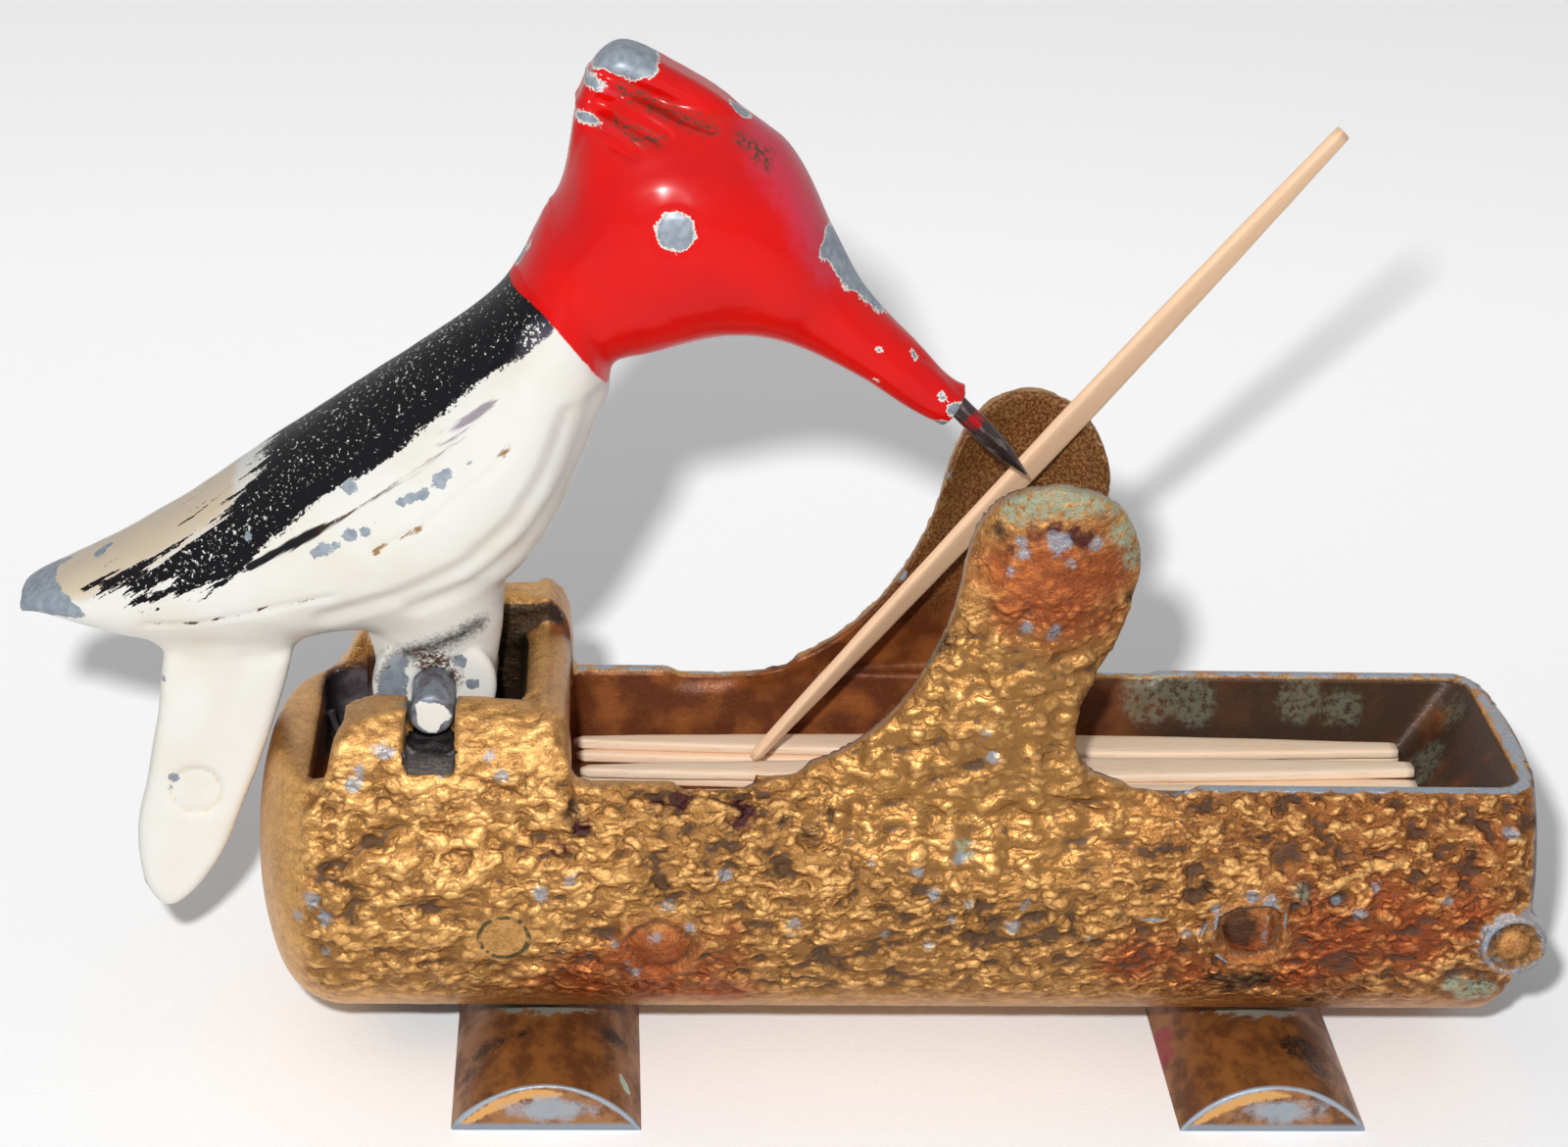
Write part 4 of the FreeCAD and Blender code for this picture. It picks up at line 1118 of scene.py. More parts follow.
# %% Masks of the twig, the pin's slot and the mark
twig_gap = np.linalg.norm(log_side - TWIG, axis=1)
on_twig = (np.abs(y) > 11.5) & (twig_gap < TWIG_RADIUS)
ring_side = 0.55 + 0.35 * (log_side - TWIG) @ (0.6, 0.8) / 2.3
twig_zinc = np.where(on_twig, (twig_gap - 1.9) * ring_side, FAR_OUT)
twig_dark = np.where(on_twig, 0.3 - np.abs(twig_gap - 1.62), FAR_OUT)
# A thin band along the front edge of the pin's slot, painted gold as a highlight.
lip_gap = np.abs(z - 24.95 - 0.03 * (x - PIN_X) ** 2)
lip = (1 - soft_step(lip_gap, 0.1, 0.45)) * (np.abs(x - PIN_X) < 2.6) * (y < -10)
# The pin's slot: its floor behind the ledge gets the pin's painted shadow.
in_slot = (np.abs(x - PIN_X) < 1.75) & (y < -4.9) & (y > -10.7) & (z < 27.3) & (z > 25.0)
mark_gap = np.linalg.norm(log_side - LOG_MARK, axis=1)
mark_ring = 0.16 - np.abs(mark_gap - LOG_MARK_RADIUS)

# %% Store the masks
log_numbers = {name: spots_distance(log_points, spots) for name, spots in SPOTS.items()}
log_numbers.update({
    "orange": np.where(on_twig, 0.4 - twig_gap, log_numbers["orange"]),
    "zinc": np.maximum(log_numbers["zinc"], twig_zinc),
    "dark": np.maximum(log_numbers["dark"], twig_dark),
    "inside": np.maximum(np.maximum(in_trough, stub_inside), ledge),
    "lip": spread(log.data, lip, 1),
    "slot": np.where(in_slot, SLOT_LEDGE_Y - y, FAR_OUT),
    "ring": np.where(on_skin & (y < 0), mark_ring, FAR_OUT),
    "rear_rim": spread(log.data, rear_rim, 3),
    "rim": np.maximum(rim_top, 1.05 * spread(log.data, rear_rim * (y > 0), 1)),
    "bay_wall": spread(log.data, bay_wall, 3),
    "bay_painted_shadow": spread(log.data, bay_shadow_zone * 1.0, 2),
    "arris": corner,
})
store_all(log.data, log_numbers)

# %% Bronze colours
GOLD = (0.80, 0.44, 0.15, 1)
# The dull and burnt golds and the deep orange colour the hollows, partly as painted shade, and the
# crevice colour is partly painted shade.
DULL_AND_SHADED_GOLD = (0.33, 0.155, 0.042, 1)
CREVICE_DIRT_AND_SHADE = (0.060, 0.027, 0.012, 1)
ORANGE = (0.52, 0.125, 0.028, 1)
DEEP_AND_SHADED_ORANGE = (0.26, 0.052, 0.014, 1)
RED_BROWN = (0.070, 0.016, 0.014, 1)
TROUGH_BROWN = (0.125, 0.032, 0.009, 1)
WARM_BROWN = (0.28, 0.085, 0.020, 1)
MAUVE_ZINC = (0.135, 0.115, 0.130, 1)
DEEP_MAUVE = (0.045, 0.036, 0.042, 1)
OLIVE_BROWN = (0.30, 0.17, 0.055, 1)
TROUGH_SHADE_OLIVE = (0.040, 0.027, 0.017, 1)
BURNT_AND_SHADED_GOLD = (0.27, 0.095, 0.024, 1)
PATINA = (0.33, 0.39, 0.27, 1)
# Near black, for dark marks and for painted shadows.
NEAR_BLACK = (0.012, 0.010, 0.010, 1)
LIT_ZINC = (0.36, 0.42, 0.48, 1)
RING_GREY = (0.045, 0.052, 0.028, 1)
LEDGE_GREY = (0.40, 0.37, 0.34, 1)


# %% Bronze coat
def scales(tree):
    """Small overlapping scales drawn out along the log, from 0 in their gaps to 1 on top."""
    place = own_place(tree)
    wander = noise(tree, place, 0.55 / MM, 2.0, 0.5, output="Color")
    place = vectors(tree, "ADD", place, scaled(tree, wander, 1.5 * MM))
    drawn = node(tree, "ShaderNodeMapping", {"Vector": place, "Scale": (0.6, 0.9, 1.0)}).outputs[0]
    return minus(tree, 1.0, times(tree, cell_gap(tree, drawn, 1.6 / MM), 2.6), clamp=True)


def gold_and_orange(tree, relief, broad, fleck, scale, west):
    """Gold on the crests and dull below them, orange where it was tinted. The bright crests are partly
    a painted highlight and the dull hollows partly painted shade, in gold and in orange.
    """
    knit = stored(tree, "knit")
    scaly = blend_numbers(tree, stored(tree, "bark"), 0.12, 0.55)
    tone_and_painted_light = add_shares(
        tree, times(tree, relief, blend_numbers(tree, knit, 0.75, 0.45)),
        (minus(tree, broad, 0.5), 0.5), (knit, -0.12), (minus(tree, scale, 0.6), scaly),
        (minus(tree, fleck, 0.5), 0.7), (west, 0.12),
    )
    dull = mix(tree, between(tree, own_mm(tree, "X"), 16.0, 38.0), DULL_AND_SHADED_GOLD, BURNT_AND_SHADED_GOLD)
    colour = mix(tree, between(tree, tone_and_painted_light, 0.42, -0.32), GOLD, dull)
    tinted = ragged(tree, minus(tree, stored(tree, "orange"), 0.8), 0.9, 1.7)
    red = mix(tree, between(tree, tone_and_painted_light, 0.35, -0.25), ORANGE, DEEP_AND_SHADED_ORANGE)
    return paint(tree, colour, tinted, 0.86, red)


def inner_brown(tree, broad, fleck):
    """Thin brown paint in the trough, with painted shade darkening it towards the right end, speckled
    with olive up on the stubs' inner faces.
    """
    along, height = own_mm(tree, "X"), own_mm(tree, "Z")
    blotch = between(tree, grain(tree, 0.35, 4.0), 0.4, 0.68)
    brown = mix(tree, blotch, TROUGH_BROWN, WARM_BROWN)
    # Painted shade: the trough turns dark olive towards its right end, which faces away from the lamp.
    shade = between(tree, along, 20.0, 31.0, 0.0, 0.85)
    brown = paint(tree, brown, shade, between(tree, broad, 0.15, 0.45), TROUGH_SHADE_OLIVE)
    speckled = mix(tree, between(tree, fleck, 0.42, 0.62), TROUGH_BROWN, OLIVE_BROWN)
    return mix(tree, between(tree, height, 27.0, 35.0, 0.0, 0.9), brown, speckled)


def bay_grey(tree):
    """Mauve zinc on the bay's rear wall, with the end wall's shadow painted black at its end, and brown
    towards its top.
    """
    blotch = between(tree, grain(tree, 0.45, 4.0, 0.6), 0.38, 0.62)
    wall = mix(tree, blotch, MAUVE_ZINC, DEEP_MAUVE)
    # Painted shadow of the end wall, black at the wall's left end.
    wall = mix(tree, between(tree, own_mm(tree, "X"), -31.4, -33.2), wall, NEAR_BLACK)
    return mix(tree, between(tree, own_mm(tree, "Z"), 23.8, 25.0, 0.0, 0.7), wall, TROUGH_BROWN)


# Crevices and inward corners, darkened partly as dirt and partly as painted shade.
def crevice_dirt_and_shade(tree, relief, broad, scale, west):
    scaly = blend_numbers(tree, stored(tree, "bark"), 0.08, 0.45)
    calm = most(tree, stored(tree, "knit"), west)
    depth = add_shares(
        tree, relief, (minus(tree, broad, 0.5), 0.5), (minus(tree, scale, 0.5), scaly), (calm, 0.22),
    )
    fine = between(tree, grain(tree, 2.1, 4.0, 0.65, 0.6), 0.43, 0.35)
    pits = times(tree, fine, between(tree, relief, 0.2, -0.2))
    corner = between(tree, stored(tree, "arris"), -0.05, -0.18)
    deep = between(tree, depth, -0.34, -0.66)
    return most(tree, deep, times(tree, pits, 0.8), times(tree, corner, 0.8))


def bare_mask(tree, relief):
    worn = times(tree, grain(tree, 0.8, 3.0, 0.6), 2.4)
    rubbed = minus(tree, plus(tree, times(tree, relief, 0.9), worn), 2.06)
    edge = worn_arris(tree, 0.15, 0.3, 0.58, 0.6, 3.0)
    patch = plus(tree, times(tree, grain(tree, 0.7, 4.0, 0.65), 1.5), 0.02)
    rim = minus(tree, stored(tree, "rim"), patch)
    spots = ragged(tree, stored(tree, "zinc"), 0.42, 0.20)
    edged = ragged(tree, most(tree, rubbed, edge, rim, -0.4), 0.14, 0.06)
    return most(tree, times(tree, spots, 0.8), edged)


# %% Bronze material
def bronze_bark():
    material, tree, surface = new_material("bronze_bark")
    relief, inside, bark = (stored(tree, name) for name in ("relief", "inside", "bark"))
    broad = grain(tree, 0.22, 3.0, 0.6)
    fleck = grain(tree, 5.0, 3.0, 0.7)
    scale = scales(tree)
    west = between(tree, own_mm(tree, "X"), -9.0, -18.0)
    colour = gold_and_orange(tree, relief, broad, fleck, scale, west)
    colour = mix(tree, inside, colour, inner_brown(tree, broad, fleck))
    colour = mix(tree, stored(tree, "bay_wall"), colour, bay_grey(tree))
    # Crevices darkened, partly dirt and partly painted shade.
    dark = crevice_dirt_and_shade(tree, relief, broad, scale, west)
    colour = paint(tree, colour, dark, 0.8, CREVICE_DIRT_AND_SHADE)
    ring = ragged(tree, stored(tree, "ring"), 0.10, 0.06)
    colour = paint(tree, colour, ring, 0.9, RING_GREY)
    rear_rim = stored(tree, "rear_rim")
    outer_side = between(tree, rear_rim, 0.75, 0.55)
    colour = paint(tree, colour, between(tree, rear_rim, 0.02, 0.15), outer_side, NEAR_BLACK)
    purple = ragged(tree, stored(tree, "purple"), 0.30, 0.2)
    colour = paint(tree, colour, purple, between(tree, relief, 0.3, -0.1, 0.25, 1.0), RED_BROWN)
    dark_marks = ragged(tree, stored(tree, "dark"), 0.55, 0.40)
    colour = paint(tree, colour, dark_marks, 0.8, NEAR_BLACK)
    green = ragged(tree, stored(tree, "green"), 0.55, 0.5)
    green = times(tree, green, between(tree, grain(tree, 2.2, 4.0, 0.7), 0.36, 0.56))
    colour = paint(tree, colour, green, blend_numbers(tree, inside, 0.85, 0.28), PATINA)
    # Painted highlight in gold along the slot's front edge.
    colour = paint(tree, colour, stored(tree, "lip"), 0.6, GOLD)
    slot = stored(tree, "slot")
    flecked = between(tree, fleck, 0.35, 0.65)
    ledge = mix(tree, flecked, LEDGE_GREY, MAUVE_ZINC)
    # Behind the ledge the slot floor is painted black as the shadow under the pin.
    ledge = mix(tree, between(tree, slot, -0.2, 0.1), NEAR_BLACK, ledge)
    colour = mix(tree, between(tree, slot, -3.4, -3.2), colour, ledge)
    # Painted shadow of the hub, black in the bay behind it.
    bay_painted_shadow = between(tree, stored(tree, "bay_painted_shadow"), 0.3, 0.8, 0.0, 0.93)
    colour = mix(tree, bay_painted_shadow, colour, NEAR_BLACK)
    zinc = mix(tree, flecked, LIT_ZINC, DARK_ZINC)
    colour = paint(tree, colour, bare_mask(tree, relief), 0.9, zinc)
    dull = most(tree, dark, green, inside)
    rough = between(tree, fleck, 0.3, 0.7, 0.25, 0.44)
    skin = grain(tree, 2.1, 5.0, 0.7, 0.4, (0.7, 1, 1))
    height = add_shares(
        tree, times(tree, fleck, 0.2), (skin, 0.65), (scale, times(tree, bark, 0.7)),
    )
    knit = times(tree, stored(tree, "knit"), 0.7)
    smooth = most(tree, times(tree, inside, 0.8), knit, times(tree, west, 0.4))
    calm = times(tree, minus(tree, 1.0, smooth), height)
    fill(tree, surface, {
        "Base Color": colour,
        "Metallic": between(tree, dull, 0.0, 1.0, 0.80, 0.15),
        "Roughness": add_shares(tree, rough, (dark, 0.25)),
        "Specular IOR Level": blend_numbers(tree, inside, 0.5, 0.2),
        "Normal": bump(tree, calm, 0.9, 0.34),
    })
    return material


BARK_INPUTS = {
    "Lump size": (2.1, 1.2, 0.95), "Knit size": (1.9, 1.5, 0.92), "Start": (3.0, 11.0, 5.0),
    "Depth": 0.62,
}
grow(log, bark_relief_tree(), bronze_bark(), BARK_INPUTS)
place_on(log, "log", ["log_casting"])

# %% [markdown]
# ## Feet
# Each foot is a split log laid across, smooth and brown on its round top. Its sawn end has a
# worn grey arris, a band of bright gold under it and a bare grey patch, and pale scale creeps
# out where it meets the log.

# %% Feet materials
BROWN = (0.34, 0.135, 0.036, 1)
DARK_BROWN = (0.15, 0.055, 0.018, 1)
PALE_SCALE = (0.36, 0.35, 0.30, 1)
BRIGHT_GOLD = (0.72, 0.38, 0.12, 1)
END_BROWN = (0.36, 0.16, 0.055, 1)
MINT = (0.50, 0.66, 0.52, 1)
RED_TINGE = (0.35, 0.02, 0.05, 1)


def sawn_end(tree, mottled):
    """Grey arris over a band of gold, with a bare patch and dirt along the sole."""
    under_arc = stored(tree, "under_arc")
    gold = minus(tree, 0.42, maths(tree, "ABSOLUTE", minus(tree, under_arc, 0.62)))
    gold = minus(tree, gold, stored(tree, "gold_side"))
    face = mix(tree, between(tree, mottled, 0.42, 0.60), END_BROWN, DARK_BROWN)
    face = mix(tree, ragged(tree, gold, 0.34, 0.16), face, BRIGHT_GOLD)
    grey = ragged(tree, stored(tree, "grey_patch"), 0.50, 0.40)
    face = paint(tree, face, grey, 0.85, LIT_ZINC)
    face = mix(tree, ragged(tree, minus(tree, 0.17, under_arc), 0.10, 0.10), face, LIT_ZINC)
    return mix(tree, between(tree, own_mm(tree, "Z"), 0.75, 0.35), face, DARK_ZINC)


def foot_paint():
    material, tree, surface = new_material("foot_paint")
    mottled = grain(tree, 0.5, 5.0, 0.65, 0.0, (1, 0.6, 1))
    fleck = grain(tree, 4.0, 3.0, 0.7)
    colour = mix(tree, between(tree, mottled, 0.40, 0.62), BROWN, DARK_BROWN)
    colour = mix(tree, between(tree, fleck, 0.62, 0.74, 0.0, 0.5), colour, END_BROWN)
    colour = mix(tree, stored(tree, "end"), colour, sawn_end(tree, mottled))
    edge = times(tree, minus(tree, stored(tree, "arris"), 0.085), 3.0)
    colour = mix(tree, ragged(tree, edge, 0.14, 0.08), colour, LIT_ZINC)
    dark_marks = ragged(tree, stored(tree, "dark"), 0.7, 0.5)
    colour = paint(tree, colour, dark_marks, between(tree, fleck, 0.32, 0.56), NEAR_BLACK)
    red = ragged(tree, stored(tree, "red"), 0.3, 0.4)
    colour = paint(tree, colour, red, 0.7, RED_TINGE)
    colour = mix(tree, ragged(tree, stored(tree, "scale"), 0.45, 0.12), colour, PALE_SCALE)
    colour = mix(tree, ragged(tree, stored(tree, "chip"), 0.12, 0.04), colour, MINT)
    height = plus(tree, times(tree, fleck, 0.4), mottled)
    fill(tree, surface, {
        "Base Color": colour,
        "Metallic": 0.25,
        "Roughness": between(tree, mottled, 0.3, 0.7, 0.34, 0.52),
        "Normal": bump(tree, height, 0.45, 0.12),
    })
    return material


# %% Feet
FOOT_GRAIN_MM = 0.22
FOOT_CENTRES = {"left_foot": -16.8, "right_foot": 34.6}
FOOT_HEIGHT = 3.65
FOOT_HALF_WIDTH = 6.7
FOOT_END_Y = 14.72
SEAT_RADIUS = 12.9
SCALE_WIDTH = 0.62
FOOT_MARKS = {
    "dark": [
        (37.6, -9.2, 3.1, 1.9), (38.4, -11.0, 2.6, 1.2), (-21.6, -8.6, 2.4, 0.8),
        (-20.2, -8.2, 3.0, 0.7), (-18.6, -8.0, 3.4, 0.6), (-11.9, -6.4, 2.3, 1.0),
        (-22.4, -10.0, 1.6, 0.6),
    ],
    "red": [(28.0, -4.0, 0.4, 1.4), (28.1, -6.0, 0.3, 1.1)],
    "chip": [(-11.3, -11.3, 1.5, 0.45), (-11.1, -11.8, 1.3, 0.40), (-11.5, -10.8, 1.7, 0.30)],
}
FOOT_PAINT = foot_paint()
for name, centre_x in FOOT_CENTRES.items():
    foot = recast(name, name + "_casting", FOOT_GRAIN_MM)
    points = read_points(foot.data)
    foot_x, foot_y, foot_z = points.T
    corner = outward_corners(foot.data, 6)
    uneven = 0.07 * lump_noise(points / (3.0, 5.0, 3.0), 11) + 0.03 * lump_noise(points / 1.2, 12)
    uneven *= soft_step(foot_z, 0.2, 0.8) - 0.35 * soft_step(corner, 0.05, 0.25)
    across = foot_x - centre_x
    foot_numbers = {mark: spots_distance(points, spots) for mark, spots in FOOT_MARKS.items()}
    foot_numbers.update({
        "arris": corner,
        "end": soft_step(np.abs(foot_y), FOOT_END_Y, FOOT_END_Y + 0.14),
        "under_arc": FOOT_HEIGHT * (1 - (across / FOOT_HALF_WIDTH) ** 2) - foot_z,
        "grey_patch": 0.85 - np.hypot((across - 0.4) / 2.9, foot_z - 1.7),
        "gold_side": soft_step(across, -0.5, 3.0),
        "scale": SCALE_WIDTH + SEAT_RADIUS - np.hypot(foot_y, foot_z - LOG_AXIS_Z),
    })
    write_points(foot.data, points + read_normals(foot.data) * uneven[:, None])
    store_all(foot.data, foot_numbers)
    dress(foot, FOOT_PAINT)
    place_on(foot, "log", [name])

# %% [markdown]
# ## Needle and pin
# The beak holds a steel needle that tapers like a thorn and still has red enamel on it. The pin
# is cut off flush and daubed with a ragged blob of white at each end.

# %% Needle
NEEDLE_GRAIN_MM = 0.11
BEAK_END = np.array((10.9, 0.0, 48.7))
NEEDLE_TIP = np.array((15.85, 0.0, 43.85))
NEEDLE_THINNING = 0.22
NEEDLE_TURN = -44.0
RED_MIDDLE = 1.3
RED_HALF_WIDTH = 0.55
NEEDLE_STEEL = (0.045, 0.030, 0.028, 1)
STEEL_STREAK = (0.20, 0.16, 0.15, 1)


def dark_steel():
    material, tree, surface = new_material("dark_steel")
    drawn_out = feather_grain(tree, 3.0, NEEDLE_TURN, 5.0)
    colour = mix(tree, between(tree, drawn_out, 0.52, 0.68), NEEDLE_STEEL, STEEL_STREAK)
    red = ragged(tree, stored(tree, "red_left"), 0.35, 0.10)
    fill(tree, surface, {
        "Base Color": paint(tree, colour, red, between(tree, drawn_out, 0.35, 0.6), DEEP_RED),
        "Metallic": 0.55,
        "Roughness": 0.38,
        "Normal": bump(tree, drawn_out, 0.5, 0.10),
    })
    return material


needle = recast("beak_needle", "needle", NEEDLE_GRAIN_MM)
needle_points = read_points(needle.data)
length = np.linalg.norm(NEEDLE_TIP - BEAK_END)
needle_run = (NEEDLE_TIP - BEAK_END) / length
along = (needle_points - BEAK_END) @ needle_run
middle = BEAK_END + along[:, None] * needle_run
thin = 1 - NEEDLE_THINNING * soft_step(along, 0.4 * length, length - 1.0)
ridges = 0.06 * lump_noise(needle_points / (1.6, 0.4, 1.6), 21)
width = thin * (1 + ridges * soft_step(length - along, 0.2, 2.0))
write_points(needle.data, middle + (needle_points - middle) * width[:, None])
store(needle.data, "red_left", RED_HALF_WIDTH - np.abs(along - RED_MIDDLE))
dress(needle, dark_steel())
place_on(needle, "bird", ["beak_needle"])

# %% Pin
PIN_GRAIN_MM = 0.14
PIN_END_Y = 6.6
WHITE_DAUB = (0.88, 0.86, 0.80, 1)


def worn_pin():
    material, tree, surface = new_material("worn_pin")
    zinc = mix(tree, between(tree, grain(tree, 0.9, 3.0), 0.4, 0.6), DARK_ZINC, MAUVE_ZINC)
    blob = ragged(tree, stored(tree, "blob"), 0.20, 0.04)
    height = add_shares(tree, blob, (grain(tree, 1.5, 2.0), 0.4))
    fill(tree, surface, {
        "Base Color": mix(tree, blob, zinc, WHITE_DAUB),
        "Metallic": between(tree, blob, 0.0, 1.0, 0.35, 0.0),
        "Roughness": 0.5,
        "Normal": bump(tree, height, 0.4, 0.06),
    })
    return material


hinge = next(joint for joint in frame["joints"] if joint["name"] == "bird_tilt")
PIVOT = Vector(hinge["pos_m"]) / MM
pin = recast("pivot_pin", "pin", PIN_GRAIN_MM)
pin_points = read_points(pin.data)
pin_x, pin_z = pin_points[:, 0] - PIVOT.x, pin_points[:, 2] - PIVOT.z
turn = np.arctan2(pin_z, pin_x)
blob_edge = 1.12 + 0.14 * np.sin(3 * turn + 0.6) + 0.10 * np.sin(5 * turn + 2.0)
on_end = np.abs(pin_points[:, 1]) > PIN_END_Y
store(pin.data, "blob", np.where(on_end, blob_edge - np.hypot(pin_x, pin_z), FAR_OUT))
dress(pin, worn_pin())
place_on(pin, "bird", ["pivot_pin"])

# %% [markdown]
# ## Spring along a path
# The spring is a round wire along a path: from a hook in the bird's hub round the pin and down
# to the end wall. A Geometry Nodes tree turns the path into wire, so that its thickness and the
# fineness of its round are two numbers.

# %% Wire tree
def wire_tree():
    tree, given = geometry_tree("wire along a path", {"Wire radius": "Float", "Sides": "Int"})
    path = node(tree, "GeometryNodeMeshToCurve", {"Mesh": given["Geometry"]}).outputs[0]
    inputs = {"Resolution": given["Sides"], "Radius": given["Wire radius"]}
    profile = node(tree, "GeometryNodeCurvePrimitiveCircle", inputs).outputs[0]
    inputs = {"Curve": path, "Profile Curve": profile, "Fill Caps": True}
    return end_tree(tree, node(tree, "GeometryNodeCurveToMesh", inputs).outputs[0])


SPRING_GREY = (0.26, 0.26, 0.27, 1)
SPRING_BROWN = (0.10, 0.08, 0.07, 1)


def spring_steel():
    material, tree, surface = new_material("spring_steel")
    colour = mix(tree, grain(tree, 1.2, 3.0), SPRING_GREY, SPRING_BROWN)
    fill(tree, surface, {"Base Color": colour, "Metallic": 0.8, "Roughness": 0.35})
    return material


# %% Spring
WIRE_RADIUS = 0.3
WIRE_SIDES = 14
COIL_RADIUS = 2.1
COIL_PITCH = 0.75
COIL_TURNS = 2.25
COIL_START_Y = 3.1
COIL_STEPS = 108
HOOK_RADIUS = 3.3
HOOK_END_Y = 1.55
LEG_BEND = (-32.0, 20.1)
LEG_END = (-32.75, 22.6)

hook_x = PIVOT.x + HOOK_RADIUS
spring_path = [(hook_x, HOOK_END_Y, PIVOT.z), (hook_x, COIL_START_Y, PIVOT.z)]
for step in range(COIL_STEPS + 1):
    turned = COIL_TURNS * step / COIL_STEPS
    angle = 2 * math.pi * turned
    spring_path.append((
        PIVOT.x + COIL_RADIUS * math.cos(angle),
        COIL_START_Y + COIL_PITCH * turned,
        PIVOT.z - COIL_RADIUS * math.sin(angle),
    ))
leg_y = spring_path[-1][1]
spring_path += [(x, leg_y, z) for x, z in (LEG_BEND, LEG_END)]
spring_edges = [(i, i + 1) for i in range(len(spring_path) - 1)]
spring_mesh = bpy.data.meshes.new("spring")
spring_mesh.from_pydata([Vector(p) * MM for p in spring_path], spring_edges, [])
spring = add_object("spring", spring_mesh)
WIRE_INPUTS = {"Wire radius": WIRE_RADIUS * MM, "Sides": WIRE_SIDES}
grow(spring, wire_tree(), spring_steel(), WIRE_INPUTS)
place_on(spring, "log", ["return_spring"])

# %% [markdown]
# ## Toothpicks
# All toothpicks are stamped alike from birch: flat, pointed at one end, blunt at the other, with
# rounded arrises. One is modelled along X. Its point stores its own coordinates, so that the
# grain always runs along the wood, however the toothpick lies. A Geometry Nodes tree then lays a
# copy wherever the CAD has one.

# %% One toothpick
PICK_LENGTH = 60.8
PICK_HALF_WIDTH = 1.45
PICK_HALF_THICKNESS = 0.4
PICK_STATIONS = [
    (0.0, 0.24), (6.0, 0.52), (20.0, 0.88), (35.0, 1.05), (49.0, 0.84), (56.0, 0.66), (60.8, 0.50),
]
PICK_RUNS = 96
PICK_SIDES = 20
FLAT_SIDE = 0.45
FLAT_FACE = 0.50


def squared(wave, power):
    """A sine or cosine whose round is drawn out towards a rectangle."""
    return math.copysign(abs(wave) ** power, wave)


def pick_rings():
    """Rows of points round a flat toothpick, from its tip along X, its thickness along Z."""
    along, widths = np.array(PICK_STATIONS).T
    half_width = np.polynomial.Polynomial.fit(along, widths * PICK_HALF_WIDTH, 5)
    for run in range(PICK_RUNS + 1):
        x = PICK_LENGTH * run / PICK_RUNS
        ends = min(1.0, 0.55 + 1.2 * x, 0.90 + 0.5 * (PICK_LENGTH - x))
        ring = []
        for side in range(PICK_SIDES):
            turn = 2 * math.pi * (side + 0.5) / PICK_SIDES
            y = squared(math.cos(turn), FLAT_SIDE) * half_width(x) * min(1.0, ends + 0.1)
            z = squared(math.sin(turn), FLAT_FACE) * PICK_HALF_THICKNESS * ends
            ring.append(Vector((x, y, z)) * MM)
        yield ring


def pick_mesh():
    form = bmesh.new()
    rings = [[form.verts.new(place) for place in ring] for ring in pick_rings()]
    for near, far in zip(rings, rings[1:]):
        for side in range(PICK_SIDES):
            after = (side + 1) % PICK_SIDES
            form.faces.new((near[side], near[after], far[after], far[side]))
    form.faces.new(rings[0][::-1])
    form.faces.new(rings[-1])
    bmesh.ops.recalc_face_normals(form, faces=form.faces)
    mesh = bpy.data.meshes.new("toothpick")
    form.to_mesh(mesh)
    form.free()
    points = read_points(mesh)
    own = mesh.attributes.new("own_place", "FLOAT_VECTOR", "POINT")
    own.data.foreach_set("vector", points.astype(np.float32).ravel())
    wander = 0.025 * lump_noise(points / (2.5, 0.8, 0.8), 41)
    write_points(mesh, points + read_normals(mesh) * wander[:, None])
    shade_smooth(mesh)
    return mesh


# %% Where each toothpick lies
def axes_matrix(first, second, third, place):
    """Transform whose columns are three directions and a place."""
    return Matrix([*zip(first, second, third, place), (0, 0, 0, 1)])


def pick_axes(name):
    """Place and directions of a CAD toothpick, worked out from the spread of its points."""
    flat = nodes[name]
    points = np.array([flat.matrix_world @ vertex.co for vertex in flat.data.vertices]) / MM
    run, across, thick = np.linalg.svd(points - points.mean(axis=0))[2]
    along = points @ run
    near = points[along < along.min() + 0.5]
    far = points[along > along.max() - 0.5]
    if np.ptp(near @ across) > np.ptp(far @ across):
        run, near = -run, far
    middle = 0.5 * (near.max(axis=0) + near.min(axis=0))
    middle_of_flat = 0.5 * ((points @ thick).max() + (points @ thick).min())
    tip = middle + (middle_of_flat - middle @ thick) * thick
    return axes_matrix(run, np.cross(thick, run), thick, tip * MM)


# %% Laying tree
def laying_tree():
    tree, given = geometry_tree("lay toothpicks", {"Toothpick": "Object", "Thickness": "Float"})
    shape = node(tree, "GeometryNodeObjectInfo", {"Object": given["Toothpick"]}).outputs["Geometry"]
    size = node(tree, "ShaderNodeCombineXYZ", {0: 1.0, 1: 1.0, 2: given["Thickness"]}).outputs[0]
    laid = node(tree, "GeometryNodeInstanceOnPoints", {
        "Points": given["Geometry"], "Instance": shape,
        "Rotation": kept_number(tree, "turn", "FLOAT_VECTOR"), "Scale": size,
    })
    return end_tree(tree, laid.outputs[0])


# %% Birch
PALE_BIRCH = (0.98, 0.80, 0.61, 1)
PEACH_BIRCH = (0.98, 0.63, 0.38, 1)
DARK_FIBRE = (0.50, 0.27, 0.12, 1)
FIBRE_SHIFT = 90.0


